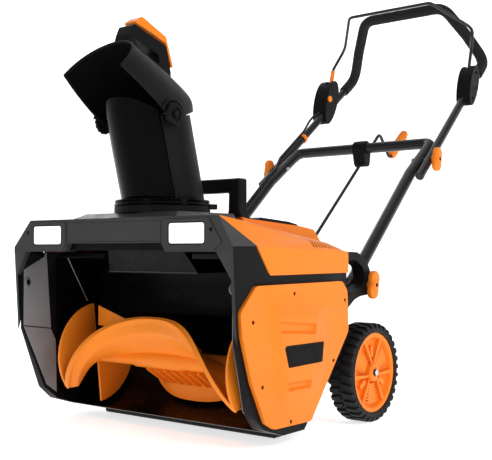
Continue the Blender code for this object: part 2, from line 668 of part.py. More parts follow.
# ---------------------------------------------------------------- chute
def make_chute():
    collar = [(0.0868, 0.4100), (0.0890, 0.4100), (0.0890, 0.3984), (0.0868, 0.3984)]
    base = turned("chute_base_collar", collar, spot(0, (CHUTE, 0)), (0, 0, 1), GREY, 36)
    cut(base, box("cut_collar_notch", (-0.022, 0.190, 0.390), (0.022, 0.240, 0.420)))

    teeth = gear_outline((0, CHUTE), RING_TEETH, TOOTH_MODULE, math.pi / 2)
    ring = flat("chute_ring_gear", [teeth], "top", 0.3990, 0.4104, GREY)
    join(ring, upright("ring_rim", CHUTE, 0.4102, 0.4226, 0.0875, steps=40))
    cut(ring, upright("cut_ring_bore", CHUTE, 0.38, 0.44, CHUTE_BORE, steps=32))
    pivot(ring, spot(0, (CHUTE, 0.41)))

    def shell(name, radius, start, end, top, look, columns):
        rows = []
        for share in (0.0, 1.0):
            row = []
            for column in range(columns + 1):
                degrees = start + (end - start) * column / columns
                angle = math.radians(degrees)
                height = CHUTE_FOOT + share * (top(degrees) - CHUTE_FOOT)
                lean = CHUTE - CHUTE_LEAN * (height - CHUTE_FOOT)
                row.append((radius * math.cos(angle), lean + radius * math.sin(angle), height))
            rows.append(row)
        return pivot(sheet(name, rows, 0.0025, look, offset=0.0), spot(0, (CHUTE, 0.41)))

    def front_top(degrees):
        return 0.600 - 0.030 * ((degrees + 90) / 65) ** 2

    def rear_top(degrees):
        return 0.570 + 0.012 * max(0.0, math.sin(math.radians(degrees)))

    shell("chute_front_shell", 0.0738, -156, -24, front_top, GLOSS_BLACK, 14)
    shell("chute_rear_shell", 0.0770, -29, 209, rear_top, BLACK, 22)


def make_deflector():
    """A hood that wraps over the top of the chute and tips about its side pivots."""
    stations = [((0.066, 0.560), (0.1705, 0.5950), 0.0832),
                ((0.045, 0.573), (0.1665, 0.6190), 0.0834),
                ((0.020, 0.590), (0.1180, 0.6480), 0.0830),
                ((-0.014, 0.614), (0.0620, 0.6740), 0.0790),
                ((-0.047, 0.638), (0.0130, 0.6975), 0.0720)]
    columns = 16
    rows = []
    for foot, crown, half in stations:
        row = []
        for column in range(columns + 1):
            angle = math.pi * column / columns
            rise = math.sin(angle) ** 0.8
            row.append((half * math.cos(angle), foot[0] + (crown[0] - foot[0]) * rise,
                        foot[1] + (crown[1] - foot[1]) * rise))
        rows.append(row)
    hood = sheet("deflector", rows, 0.0025, GREY, offset=0.0)
    pivot(hood, spot(0, DEFLECTOR_PIVOT))

    outline = [(0.036, 0.7410), (0.138, 0.7130), (0.1560, 0.6400), (0.1230, 0.6560),
               (0.0600, 0.6870), (0.0340, 0.7000)]
    slot = [(0.0540, 0.7170), (0.1230, 0.6975), (0.1320, 0.6680), (0.0680, 0.7000)]
    grip = flat("deflector_grip", [outline, slot], "side", -0.0175, 0.0175, BLACK)
    bevel(grip, 0.002)
    lever = [(0.0520, 0.7415), (0.0760, 0.7580), (0.1410, 0.7220), (0.1600, 0.6700),
             (0.1535, 0.6700), (0.1412, 0.7160)]
    trigger = flat("deflector_lever", [lever], "side", -0.0140, 0.0140, ORANGE)
    pivot(trigger, spot(0, (0.157, 0.671)))

    def knob(word, sign):
        x_low, x_high = span(sign, 0.0852, 0.0957)
        shape = across("deflector_knob_" + word, DEFLECTOR_PIVOT, x_low, x_high, 0.0200, BLACK, 24)
        bevel(shape, 0.0015)

    both_sides(knob)


def make_chute_drive():
    """The pinion shaft behind the ring gear, the shaft to the rear, and the crank."""
    teeth = gear_outline((0, PINION), PINION_TEETH, TOOTH_MODULE,
                         math.pi / PINION_TEETH - math.pi / 2)
    pinion = flat("pinion_shaft", [teeth], "top", 0.3996, 0.4094, STEEL)
    join(pinion, upright("pinion_stem", PINION, DRIVE_HEIGHT - 0.004, 0.4060, 0.0040, steps=12),
         rod("pinion_bevel", spot(0, (PINION, DRIVE_HEIGHT + 0.0055)),
             spot(0, (PINION, DRIVE_HEIGHT + 0.0105)), 0.0060, None, 16, 0.0110))
    pivot(pinion, spot(0, (PINION, 0.404)))
    behind = PINION + 0.0060
    shaft = rod("crank_drive_shaft", spot(0, (behind, DRIVE_HEIGHT)),
                spot(0, (0.4700, DRIVE_HEIGHT)), 0.0040, STEEL, 12)
    join(shaft, rod("shaft_bevel", spot(0, (behind + 0.0060, DRIVE_HEIGHT)),
                    spot(0, (behind + 0.0110, DRIVE_HEIGHT)), 0.0060, None, 16, 0.0100))
    pivot(shaft, spot(0, (behind, DRIVE_HEIGHT)))


def along_crank(distance, drop=0.0):
    """A place at a distance up the crank rod, and a drop square to it."""
    return (CRANK_FOOT[0] + distance * math.cos(CRANK_SLOPE) + drop * math.sin(CRANK_SLOPE),
            CRANK_FOOT[1] + distance * math.sin(CRANK_SLOPE) - drop * math.cos(CRANK_SLOPE))


def make_crank():
    length = math.dist(CRANK_FOOT, CRANK_TOP)
    path = [spot(0, CRANK_FOOT), spot(0, CRANK_TOP), spot(0, along_crank(length, CRANK_ARM)),
            spot(0, along_crank(length + 0.118, CRANK_ARM))]
    crank = tube("crank_rod", bent(path, 0.014, 4), 0.0040, PAINTED_TUBE, 2)
    pivot(crank, spot(0, CRANK_FOOT))
    start, end = along_crank(length + 0.010, CRANK_ARM), along_crank(length + 0.116, CRANK_ARM)
    grip = rod("crank_grip", spot(0, start), spot(0, end), 0.0125, ORANGE, 20)
    start, end = along_crank(length, CRANK_ARM), along_crank(length + 0.130, CRANK_ARM)
    cut(grip, rod("cut_crank_grip", spot(0, start), spot(0, end), 0.0045, None, 12))
    pivot(grip, spot(0, along_crank(length + 0.06, CRANK_ARM)))

    eyelet = (0.857, CRANK_FOOT[1] + math.tan(CRANK_SLOPE) * (0.857 - CRANK_FOOT[0]))
    bracket = flat("crank_bracket", [two_circles(CROSSBAR, 0.0190, eyelet, 0.0125)], "side",
                   -0.0165, 0.0165, BLACK)
    low, high = along_crank(0.30), along_crank(0.62)
    cut(bracket, across("cut_crossbar", CROSSBAR, -0.04, 0.04, LOWER_TUBE + GAP, steps=20),
        rod("cut_crank", spot(0, low), spot(0, high), 0.0052, None, 12))


# ---------------------------------------------------------------- handles
def leg_line(depth):
    """Height of the lower legs at a depth: straight up to the knee, then to the crossbar."""
    low, high = (LOWER_PIVOT, LOWER_KNEE) if depth < LOWER_KNEE[0] else (LOWER_KNEE, CROSSBAR)
    return low[1] + (high[1] - low[1]) * (depth - low[0]) / (high[0] - low[0])


def lower_leg(sign, depth):
    x = LOWER_LEG + LOWER_TAPER * (depth - LOWER_PIVOT[0])
    return spot(sign * x, (depth, leg_line(depth)))


def upper_line(depth):
    return FOLD[1] + UPPER_SLOPE * (depth - FOLD[0])


def upper_leg(sign, depth):
    x = UPPER_LEG + UPPER_TAPER * (depth - FOLD[0])
    return spot(sign * x, (depth, upper_line(depth)))


def loop_path(start):
    """The upper handle's path, from a depth on the right leg to the same on the left."""
    right = [upper_leg(1, start)] + [spot(x, (d, h)) for x, d, h in
                                     (LOOP_KNEE, LOOP_MIDDLE, LOOP_CORNER)]
    left = [Vector((-p.x, p.y, p.z)) for p in reversed(right)]
    return bent(right + left, 0.045, 4)


def make_handles():
    right = [lower_leg(1, depth) for depth in (0.4490, LOWER_KNEE[0], 0.829)]
    right.append(spot(0.1885, CROSSBAR))
    left = [Vector((-p.x, p.y, p.z)) for p in reversed(right)]
    lower = tube("lower_handle", bent(right + left, 0.022, 5), LOWER_TUBE, PAINTED_TUBE)
    for sign in (1, -1):
        for word, place in (("lower", LOWER_PIVOT), ("fold", FOLD)):
            x_low, x_high = span(sign, 0.170, 0.230)
            cut(lower, across("cut_%s_%d" % (word, sign), place, x_low, x_high, 0.0044, steps=12))

    path = loop_path(0.7330)
    upper = tube("upper_handle", path, UPPER_TUBE, PAINTED_TUBE)
    for sign in (1, -1):
        x_low, x_high = span(sign, UPPER_LEG - 0.02, UPPER_LEG + 0.02)
        cut(upper, across("cut_upper_%d" % sign, FOLD, x_low, x_high, 0.0044, steps=12))
    pivot(upper, spot(0, FOLD))

    foam = tube("foam_grip", loop_path(GRIP_START), 0.0142, SOFT_BLACK)
    cut(foam, tube("cut_foam", path, UPPER_TUBE + GAP))
    pivot(foam, spot(0, FOLD))


def egg(centre, along, half_length, low_width, high_width, steps=10):
    """An egg outline in the side view, lying along a slope, wider at one end."""
    outline = []
    for i in range(2 * steps):
        turn = math.pi * i / steps
        u = half_length * math.cos(turn)
        width = (low_width + high_width) / 2 + (high_width - low_width) / 2 * math.cos(turn)
        v = width * math.sin(turn)
        outline.append((centre[0] + u * math.cos(along) - v * math.sin(along),
                        centre[1] + u * math.sin(along) + v * math.cos(along)))
    return outline


def make_controls():
    centre = (1.0203, 0.7446)
    upright_angle = 1.20
    boxes = (("switch_box", -1, 0.0670, 0.0240, 0.0300, 0.1900, 0.2340),
             ("pivot_box", 1, 0.0560, 0.0200, 0.0250, 0.1930, 0.2300))
    for name, sign, half_length, low_width, high_width, inner, outer in boxes:
        outline = egg(centre, upright_angle, half_length, low_width, high_width)
        x_low, x_high = span(sign, inner, outer)
        case = flat(name, [outline], "side", x_low, x_high, BLACK)
        slot_low, slot_high = span(sign, BAIL_FOOT - 0.0062, BAIL_FOOT + 0.0062)
        slot = [(BAIL_PIVOT[0] - 0.010, BAIL_PIVOT[1] - 0.007),
                (BAIL_PIVOT[0] + 0.010, BAIL_PIVOT[1] - 0.007),
                (BAIL_PIVOT[0] + 0.062, BAIL_PIVOT[1] + 0.080),
                (BAIL_PIVOT[0] - 0.010, BAIL_PIVOT[1] + 0.080)]
        cut(case, rod("cut_leg_" + name, upper_leg(sign, 0.90), upper_leg(sign, 1.15),
                      UPPER_TUBE + GAP, None, 16),
            flat("cut_slot_" + name, [slot], "side", slot_low, slot_high))
        pivot(case, spot(0, FOLD))

    foot, elbow = spot(BAIL_FOOT, BAIL_PIVOT), spot(BAIL_FOOT, BAIL_ELBOW)
    right = [foot, elbow, spot(0.1940, (1.0950, 0.9080)), spot(0.1207, (0.9985, 0.9665))]
    left = [Vector((-p.x, p.y, p.z)) for p in reversed(right)]
    bail = tube("bail", bent(right + left, 0.022, 4), 0.0040, PAINTED_TUBE, 2)
    pivot(bail, spot(0, BAIL_PIVOT))
    a, b = Vector((-foot.x, foot.y, foot.z)), Vector((-elbow.x, elbow.y, elbow.z))
    direction = (b - a).normalized()
    sleeve = rod("bail_cam", a + direction * 0.0400, b - direction * 0.0070, 0.0058, ORANGE, 16)
    cut(sleeve, rod("cut_bail_cam", a, b + direction * 0.01, 0.0044, None, 12))
    pivot(sleeve, spot(0, BAIL_PIVOT))

    button = across("safety_button", BUTTON, -0.1965, -0.1865, 0.0085, ORANGE, 20)
    pivot(button, spot(-0.1915, BUTTON))
    cut(bpy.data.objects["switch_box"],
        across("cut_button", BUTTON, -0.1995, -0.1800, 0.0090, steps=20))


def make_knobs():
    """Four hand knobs: three lobes on a round boss with a threaded stud."""
    def knob(name, place, sign, inner, stud):
        lobes = 3
        outline = []
        for step in range(18):
            angle = math.radians(90) + 2 * math.pi * step / 18
            radius = 0.0215 + 0.0085 * math.cos(lobes * (angle - math.radians(90)))
            outline.append((place[0] + radius * math.cos(angle), place[1] + radius * math.sin(angle)))
        x_low, x_high = span(sign, inner + 0.0030, inner + 0.0160)
        shape = flat(name, [outline], "side", x_low, x_high, ORANGE)
        boss_low, boss_high = span(sign, inner, inner + 0.005)
        stud_low, stud_high = span(sign, stud, inner + 0.004)
        join(shape, across(name + "_boss", place, boss_low, boss_high, 0.0120, steps=16),
             across(name + "_stud", place, stud_low, stud_high, 0.0040, steps=12))
        pivot(shape, spot(0, place))

    def pair(word, sign):
        knob("upper_knob_" + word, FOLD, sign, UPPER_LEG + UPPER_TUBE + 2 * GAP, 0.178)
        knob("lower_knob_" + word, LOWER_PIVOT, sign, 0.2480 + GAP, 0.190)

    both_sides(pair)


def make_brackets():
    outer = [(0.3455, 0.3290), (0.4150, 0.3270), (0.4480, 0.3140), (0.4720, 0.2780),
             (0.4720, 0.2530), (0.4540, 0.2430), (0.4250, 0.2410), (0.4030, 0.2350),
             (0.3455, 0.1990)]
    inner = [(0.3600, 0.3130), (0.4100, 0.3110), (0.4340, 0.2990), (0.4430, 0.2810),
             (0.4360, 0.2630), (0.4180, 0.2570), (0.3940, 0.2500), (0.3600, 0.2270)]

    def bracket(word, sign):
        x_low, x_high = span(sign, 0.2220, 0.2480)
        arm = flat("rear_bracket_" + word, [rounded(outer, 0.012, 3), rounded(inner, 0.008, 3)],
                   "side", x_low, x_high, BLACK)
        hole_low, hole_high = span(sign, 0.21, 0.26)
        cut(arm, across("cut_bracket_" + word, LOWER_PIVOT, hole_low, hole_high, 0.0044, steps=12))

    both_sides(bracket)


def make_carry_handle():
    outline = [(0.098, 0.3900), (0.089, 0.4080), (0.089, 0.4690), (-0.089, 0.4690),
               (-0.089, 0.4080), (-0.098, 0.3900), (-0.056, 0.3900), (-0.060, 0.4080),
               (-0.061, 0.4420), (0.061, 0.4420), (0.060, 0.4080), (0.056, 0.3900)]
    handle = flat("carry_handle", [outline], "front", 0.2460, 0.2720, BLACK)
    bevel(handle, 0.003)


def make_cable():
    """The switch cable, clipped to the left leg, in two lengths that meet at the fold."""
    clear = 0.0036
    along = (upper_leg(-1, 1.0) - upper_leg(-1, 0.9)).normalized()
    normal = Vector((0, -along.z, along.y)).normalized()
    upper = [upper_leg(-1, d) + normal * (UPPER_TUBE + clear + extra)
             for d, extra in ((0.9840, 0.0030), (0.9740, 0.0070), (0.9620, 0.0090),
                              (0.9480, 0.0080), (0.9340, 0.0040), (0.9240, 0.0010), (0.9160, 0.0),
                              (0.8800, 0.0), (0.8400, 0.0), (0.8000, 0.0))]
    cable = tube("switch_cable_upper", upper, 0.0030, SOFT_BLACK, 2)
    pivot(cable, spot(0, FOLD))
    leg = (lower_leg(-1, 0.70) - lower_leg(-1, 0.60)).normalized()
    inboard = Vector((1, 0, 0))
    square = leg.cross(inboard).normalized()
    reach = LOWER_TUBE + clear
    lower = []
    for depth, roll in ((0.792, 0), (0.760, 0), (0.735, 0), (0.680, 0), (0.620, 0), (0.580, 12),
                        (0.555, 40), (0.535, 70), (0.515, 92)):
        turn = math.radians(roll)
        lower.append(lower_leg(-1, depth)
                     + (-square * math.cos(turn) + inboard * math.sin(turn)) * reach)
    lower += [spot(-0.182, (0.498, 0.2960)), spot(-0.176, (0.482, 0.2890)),
              spot(-0.173, (0.4675, 0.2860))]
    tube("switch_cable_lower", lower, 0.0030, SOFT_BLACK, 2)

    middle = upper_leg(-1, 0.9060)
    clip = rod("cable_clip", middle - along * 0.005, middle + along * 0.005, 0.0130, ORANGE, 16)
    cut(clip, rod("cut_clip", middle - along * 0.01, middle + along * 0.01, UPPER_TUBE + GAP,
                  None, 16))
    loop = normal * (UPPER_TUBE + clear)
    cut(clip, rod("cut_clip_cable", middle + loop - along * 0.01, middle + loop + along * 0.01,
                  0.0036, None, 12))


def main():
    clear_scene()
    make_housing()
    make_side_covers()
    make_bezel()
    make_funnel()
    make_hood()
    make_rear_body()
    make_power()
    make_auger()
    make_wheels()
    make_chute()
    make_deflector()
    make_chute_drive()
    make_crank()
    make_handles()
    make_controls()
    make_knobs()
    make_brackets()
    make_carry_handle()
    make_cable()


main()
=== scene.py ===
import math

import bmesh
import bpy
from mathutils import Matrix, Vector
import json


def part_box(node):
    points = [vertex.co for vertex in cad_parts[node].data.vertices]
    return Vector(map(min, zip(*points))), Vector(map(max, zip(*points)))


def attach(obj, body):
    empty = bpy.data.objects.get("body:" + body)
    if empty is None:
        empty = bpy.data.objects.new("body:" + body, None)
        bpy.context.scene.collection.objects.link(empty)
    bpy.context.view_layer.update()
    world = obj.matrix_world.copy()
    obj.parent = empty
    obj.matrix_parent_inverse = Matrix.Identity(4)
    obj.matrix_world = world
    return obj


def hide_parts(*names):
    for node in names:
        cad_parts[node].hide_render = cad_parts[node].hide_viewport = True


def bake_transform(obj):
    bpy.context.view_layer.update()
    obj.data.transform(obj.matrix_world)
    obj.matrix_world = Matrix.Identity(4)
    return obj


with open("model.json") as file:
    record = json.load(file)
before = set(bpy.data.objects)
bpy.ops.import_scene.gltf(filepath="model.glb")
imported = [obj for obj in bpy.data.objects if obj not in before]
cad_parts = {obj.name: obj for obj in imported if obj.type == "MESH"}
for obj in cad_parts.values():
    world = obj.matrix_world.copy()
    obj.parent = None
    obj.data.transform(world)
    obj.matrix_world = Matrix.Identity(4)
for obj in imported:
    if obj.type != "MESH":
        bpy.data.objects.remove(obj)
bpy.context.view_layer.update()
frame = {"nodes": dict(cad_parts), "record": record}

# The looks of a single stage snowblower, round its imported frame. A place in the side view
# is (depth, height): depth from the bezel's front face, height from the ground.
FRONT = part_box("front_bezel")[0].y
AUGER = (0.125, 0.130)
WHEEL = (0.430, 0.095)
FOLD = (0.787, 0.5392)
LOWER_KNEE, CROSSBAR = (0.735, 0.5034), (0.855, 0.586)
LOWER_PIVOT = (0.460, 0.2625)
DEFLECTOR_PIVOT = (0.063, 0.568)
CRANK_FOOT, CRANK_TOP = (0.4745, 0.2130), (0.948, 0.6335)
UPPER_LEG, LOWER_LEG = 0.2185, 0.205
UPPER_TAPER, LOWER_TAPER = -0.0538, -0.0322
UPPER_SLOPE = 0.788
LOOP = ((0.1985, 1.1585, 0.8320), (0.1640, 1.1230, 0.9000), (0.1180, 1.0800, 0.9720))
GRIP_START = 1.106
BAIL_FOOT, BAIL_PIVOT, BAIL_ELBOW = 0.207, (1.030, 0.765), (1.0540, 0.8450)
CHUTE, CHUTE_FOOT, CHUTE_LEAN = 0.128, 0.4230, 0.268


def spot(x, place):
    return Vector((x, FRONT + place[0], place[1]))


# ---- materials
def moulded(name, colour, roughness, mottle, grain, bump, metallic=0.0, rough_swing=0.08,
            subsurface=0.0, fine=1600.0, specular=0.5):
    """A moulded or coated surface: cloudy colour, uneven gloss and a two-scale grain."""
    material = bpy.data.materials.new(name)
    material.use_nodes = True
    tree = material.node_tree
    shader = tree.nodes["Principled BSDF"]
    place = tree.nodes.new("ShaderNodeTexCoord").outputs["Object"]

    def made(kind, **values):
        node = tree.nodes.new(kind)
        for name, value in values.items():
            node.inputs[name.replace("_", " ")].default_value = value
        return node

    def noise(scale, detail, rough=0.55):
        node = made("ShaderNodeTexNoise", Scale=scale, Detail=detail, Roughness=rough)
        tree.links.new(place, node.inputs["Vector"])
        return node.outputs["Fac"]

    ramp = tree.nodes.new("ShaderNodeValToRGB")
    low, high = ramp.color_ramp.elements
    low.position, high.position = 0.30, 0.72
    low.color = (*[c * (1 - mottle) for c in colour], 1)
    high.color = (*[min(1.0, c * (1 + mottle)) for c in colour], 1)
    tree.links.new(noise(9.0, 5.0), ramp.inputs["Fac"])
    tree.links.new(ramp.outputs["Color"], shader.inputs["Base Color"])

    swing = made("ShaderNodeMapRange", From_Min=0.3, From_Max=0.7,
                 To_Min=max(0.02, roughness - rough_swing),
                 To_Max=min(1.0, roughness + rough_swing))
    tree.links.new(noise(42.0, 6.0, 0.65), swing.inputs["Value"])
    tree.links.new(swing.outputs["Result"], shader.inputs["Roughness"])

    coarse = made("ShaderNodeBump", Strength=bump, Distance=0.0008)
    small = made("ShaderNodeBump", Strength=bump * 0.8, Distance=0.0003)
    tree.links.new(noise(grain, 3.0), coarse.inputs["Height"])
    tree.links.new(noise(fine, 2.0), small.inputs["Height"])
    tree.links.new(coarse.outputs["Normal"], small.inputs["Normal"])
    tree.links.new(small.outputs["Normal"], shader.inputs["Normal"])

    shader.inputs["Metallic"].default_value = metallic
    shader.inputs["Specular IOR Level"].default_value = specular
    if subsurface:
        shader.inputs["Subsurface Weight"].default_value = subsurface
        shader.inputs["Subsurface Radius"].default_value = (0.010, 0.004, 0.001)
        shader.inputs["Subsurface Scale"].default_value = 0.4
    return material


def glowing(material, strength):
    shader = material.node_tree.nodes["Principled BSDF"]
    shader.inputs["Emission Color"].default_value = (1.0, 1.0, 1.0, 1.0)
    shader.inputs["Emission Strength"].default_value = strength
    return material


ORANGE = moulded("orange_moulding", (0.90, 0.225, 0.014), 0.44, 0.05, 520, 0.05, specular=0.18)
AUGER_ORANGE = moulded("auger_moulding", (0.90, 0.250, 0.016), 0.42, 0.07, 300, 0.06,
                       subsurface=0.03, specular=0.20)
BLACK = moulded("black_moulding", (0.0060, 0.0060, 0.0066), 0.44, 0.14, 620, 0.14, specular=0.08)
BODY_BLACK = moulded("side_black", (0.0060, 0.0062, 0.0068), 0.42, 0.12, 620, 0.10, specular=0.07)
GREY = moulded("bezel_grey", (0.036, 0.036, 0.038), 0.52, 0.10, 560, 0.20, specular=0.25)
# the inner side walls' grey is painted light: the lit side of the housing's black plastic
LIT_WALL_GREY = moulded("wall_grey_painted_light", (0.200, 0.200, 0.205), 0.46, 0.12, 380, 0.30, specular=0.28)
# the scoop's near-black, darker than the body's black, is painted shade
SCOOP = moulded("scoop_black_painted_shade", (0.0022, 0.0022, 0.0025), 0.30, 0.15, 200, 0.02, specular=0.10)
GLOSS = moulded("chute_gloss", (0.0009, 0.0009, 0.0010), 0.20, 0.15, 160, 0.01, specular=0.04,
                rough_swing=0.03)
# the deflector's inside, darker than its outside, is painted shade
INNER = moulded("deflector_inside_painted_shade", (0.0012, 0.0012, 0.0013), 0.75, 0.20, 500, 0.05,
                specular=0.08)
HOOD_GREY = moulded("deflector_grey", (0.0065, 0.0065, 0.0072), 0.50, 0.12, 480, 0.16,
                    specular=0.09)
RUBBER = moulded("tyre_black", (0.0095, 0.0095, 0.0100), 0.62, 0.22, 300, 0.45, specular=0.25)
CABLE = moulded("cable_rubber", (0.0095, 0.0095, 0.0100), 0.48, 0.15, 700, 0.15, specular=0.3)
FOAM = moulded("grip_foam", (0.0120, 0.0120, 0.0125), 0.80, 0.20, 700, 0.60, fine=2400,
               specular=0.20)
TUBE = moulded("tube_paint", (0.0100, 0.0100, 0.0110), 0.30, 0.08, 1400, 0.02, specular=0.35,
               rough_swing=0.04)
STEEL = moulded("machined_steel", (0.55, 0.55, 0.57), 0.30, 0.08, 900, 0.08, metallic=1.0)
LABEL = moulded("label_film", (0.0025, 0.0025, 0.0026), 0.60, 0.10, 240, 0.02, specular=0.1)
DARK = moulded("recess_dark", (0.0025, 0.0025, 0.0025), 0.75, 0.20, 500, 0.20, specular=0.1)
LENS = glowing(moulded("lens_white", (0.92, 0.94, 0.96), 0.18, 0.02, 90, 0.04,
                       subsurface=0.10), 0.75)


# ---- mesh helpers
def add(name, bm, angle=32.0):
    bmesh.ops.recalc_face_normals(bm, faces=bm.faces)
    mesh = bpy.data.meshes.new(name)
    bm.to_mesh(mesh)
    bm.free()
    mesh.shade_smooth()
    mesh.set_sharp_from_angle(angle=math.radians(angle))
    obj = bpy.data.objects.new(name, mesh)
    bpy.context.scene.collection.objects.link(obj)
    return obj


def settle(obj, angle=32.0):
    """Make the modifiers' result the object's own mesh."""
    bpy.context.view_layer.update()
    shape = obj.evaluated_get(bpy.context.evaluated_depsgraph_get())
    mesh = bpy.data.meshes.new_from_object(shape)
    old = obj.data
    obj.modifiers.clear()
    obj.data = mesh
    bpy.data.meshes.remove(old)
    mesh.shade_smooth()
    mesh.set_sharp_from_angle(angle=math.radians(angle))
    return obj


def boolean(obj, others, operation):
    for other in others:
        change = obj.modifiers.new(operation, "BOOLEAN")
        change.operation = operation
        change.solver = "EXACT"
        change.object = other
    settle(obj)
    for other in others:
        bpy.data.objects.remove(other, do_unlink=True)
    return obj


def cut(obj, *others):
    return boolean(obj, others, "DIFFERENCE")


def join(obj, *others):
    return boolean(obj, others, "UNION")


def soften(obj, width, segments=2, angle=30.0):
    """Round the edges, with the flats kept flat in the shading."""
    edges = obj.modifiers.new("edges", "BEVEL")
    edges.width = width
    edges.segments = segments
    edges.limit_method = "ANGLE"
    edges.angle_limit = math.radians(angle)
    edges.harden_normals = True
    return obj


def gather(name, pieces):
    """One object from several, each a closed shape of its own."""
    bm = bmesh.new()
    for piece in pieces:
        bm.from_mesh(piece.data)
        bpy.data.objects.remove(piece, do_unlink=True)
    return add(name, bm)


def put(obj, body, look, slot, *nodes):
    """Give a piece its look and body, and hide the CAD nodes it stands in for; slot is not used.
    """
    obj.data.materials.clear()
    obj.data.materials.append(look)
    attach(obj, body)
    if nodes:
        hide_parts(*nodes)
    return obj


def rounded(points, radius, steps=5):
    """A closed outline with its corners rounded."""
    result = []
    for index, here in enumerate(points):
        corner = Vector(here)
        before = Vector(points[index - 1]) - corner
        after = Vector(points[(index + 1) % len(points)]) - corner
        half = before.angle(after) / 2
        reach = min(radius / math.tan(half), before.length * 0.45, after.length * 0.45)
        start = corner + before.normalized() * reach
        end = corner + after.normalized() * reach
        for step in range(steps + 1):
            t = step / steps
            result.append(tuple(start * (1 - t) ** 2 + corner * 2 * t * (1 - t) + end * t ** 2))
    return result


def prism(name, outline, plane, low, high):
    """A flat outline extruded: "side" along X, "front" along Y."""
    def lift(point, level):
        a, b = point
        return spot(level, (a, b)) if plane == "side" else spot(a, (level, b))

    bm = bmesh.new()
    ends = [[bm.verts.new(lift(p, level)) for p in outline] for level in (low, high)]
    bm.faces.new(ends[0])
    bm.faces.new(ends[1])
    for i in range(len(outline)):
        j = (i + 1) % len(outline)
        bm.faces.new((ends[0][i], ends[0][j], ends[1][j], ends[1][i]))
    return add(name, bm)


def hull(name, points):
    """The convex solid round some points."""
    bm = bmesh.new()
    for point in points:
        bm.verts.new(point)
    result = bmesh.ops.convex_hull(bm, input=bm.verts)
    loose = {g for g in result["geom_interior"] + result["geom_unused"]
             if isinstance(g, bmesh.types.BMVert)}
    bmesh.ops.delete(bm, geom=list(loose), context="VERTS")
    bmesh.ops.dissolve_limit(bm, angle_limit=0.001, verts=bm.verts, edges=bm.edges)
    return add(name, bm)


def places(points):
    return [spot(x, (d, h)) for x, d, h in points]


def box(name, low, high):
    """A box between two corners, each given as x, depth and height."""
    return hull(name, [spot(x, (d, h)) for x in (low[0], high[0])
                       for d in (low[1], high[1]) for h in (low[2], high[2])])


def rod(name, start, end, radius, steps=24):
    start, end = Vector(start), Vector(end)
    along = end - start
    bm = bmesh.new()
    bmesh.ops.create_cone(bm, cap_ends=True, segments=steps, radius1=radius, radius2=radius,
                          depth=along.length)
    turn = Vector((0, 0, 1)).rotation_difference(along).to_matrix().to_4x4()
    bmesh.ops.transform(bm, matrix=Matrix.Translation((start + end) / 2) @ turn, verts=bm.verts)
    return add(name, bm)


def across(name, place, low, high, radius, steps=24):
    return rod(name, spot(low, place), spot(high, place), radius, steps)


def span(sign, low, high):
    """Two levels on the side that sign says, lowest first."""
    return sorted((sign * low, sign * high))


def lathe(name, profile, centre, axis, steps=64, angle=32.0):
    """A closed profile of (radius, offset) pairs turned about an axis through centre."""
    turn = Vector((0, 0, 1)).rotation_difference(Vector(axis)).to_matrix()
    bm = bmesh.new()
    rings = []
    for radius, offset in profile:
        ring = []
        for i in range(steps):
            a = 2 * math.pi * i / steps
            ring.append(bm.verts.new(centre + turn @ Vector((radius * math.cos(a),
                                                            radius * math.sin(a), offset))))
        rings.append(ring)
    for first, second in zip(rings, rings[1:] + rings[:1]):
        for i in range(steps):
            j = (i + 1) % steps
            bm.faces.new((first[i], first[j], second[j], second[i]))
    return add(name, bm, angle)


def tube(name, points, radius, sides=16, wobble=None):
    """A round bar through points, with flat ends. wobble(share) scales the radius."""
    points = [Vector(p) for p in points]
    bm = bmesh.new()
    rings = []
    normal = None
    for i, here in enumerate(points):
        before, after = points[max(0, i - 1)], points[min(len(points) - 1, i + 1)]
        along = (after - before).normalized()
        if normal is None:
            normal = along.orthogonal().normalized()
        normal = (normal - along * normal.dot(along)).normalized()
        other = along.cross(normal)
        r = radius * (wobble(i / (len(points) - 1)) if wobble else 1.0)
        rings.append([bm.verts.new(here + (normal * math.cos(2 * math.pi * k / sides)
                                           + other * math.sin(2 * math.pi * k / sides)) * r)
                      for k in range(sides)])
    for first, second in zip(rings, rings[1:]):
        for k in range(sides):
            bm.faces.new((first[k], first[(k + 1) % sides], second[(k + 1) % sides], second[k]))
    bm.faces.new(rings[0])
    bm.faces.new(rings[-1])
    return add(name, bm, 50.0)


def bent(points, radius, steps=8):
    """An open path with its corners bent to a radius."""
    result = [Vector(points[0])]
    for before, here, after in zip(points, points[1:], points[2:]):
        corner = Vector(here)
        back, forward = Vector(before) - corner, Vector(after) - corner
        half = back.angle(forward) / 2
        reach = min(radius / math.tan(half), back.length * 0.48, forward.length * 0.48)
        start = corner + back.normalized() * reach
        end = corner + forward.normalized() * reach
        for step in range(steps + 1):
            t = step / steps
            result.append(start * (1 - t) ** 2 + corner * 2 * t * (1 - t) + end * t ** 2)
    result.append(Vector(points[-1]))
    return result


def dense(points, step):
    """The same path with points no further apart than step."""
    result = [Vector(points[0])]
    for a, b in zip(points, points[1:]):
        a, b = Vector(a), Vector(b)
        count = max(1, math.ceil((b - a).length / step))
        result += [a.lerp(b, (i + 1) / count) for i in range(count)]
    return result


def copy_node(name, node, angle=1.0):
    """A welded copy of a CAD node with its flat faces made whole."""
    bm = bmesh.new()
    bm.from_mesh(frame["nodes"][node].data)
    bmesh.ops.remove_doubles(bm, verts=bm.verts, dist=0.00001)
    bmesh.ops.dissolve_limit(bm, angle_limit=math.radians(angle), verts=bm.verts,
                             edges=bm.edges)
    return add(name, bm)


def sides(make):
    """Make something on the right and on the left."""
    for word, sign in (("right", 1), ("left", -1)):
        make(word, sign)


# ---- plain CAD nodes
BODY_OF = {node: body for body, nodes in frame["record"]["behaviour"]["bodies"].items()
           for node in nodes}
SLOT_OF = {row["node"]: row["material_slot"] for row in frame["record"]["subparts"]}


def keep(look, *nodes):
    """Show CAD nodes as they are, in a look."""
    for node in nodes:
        obj = frame["nodes"][node]
        obj.data.materials.clear()
        obj.data.materials.append(look)


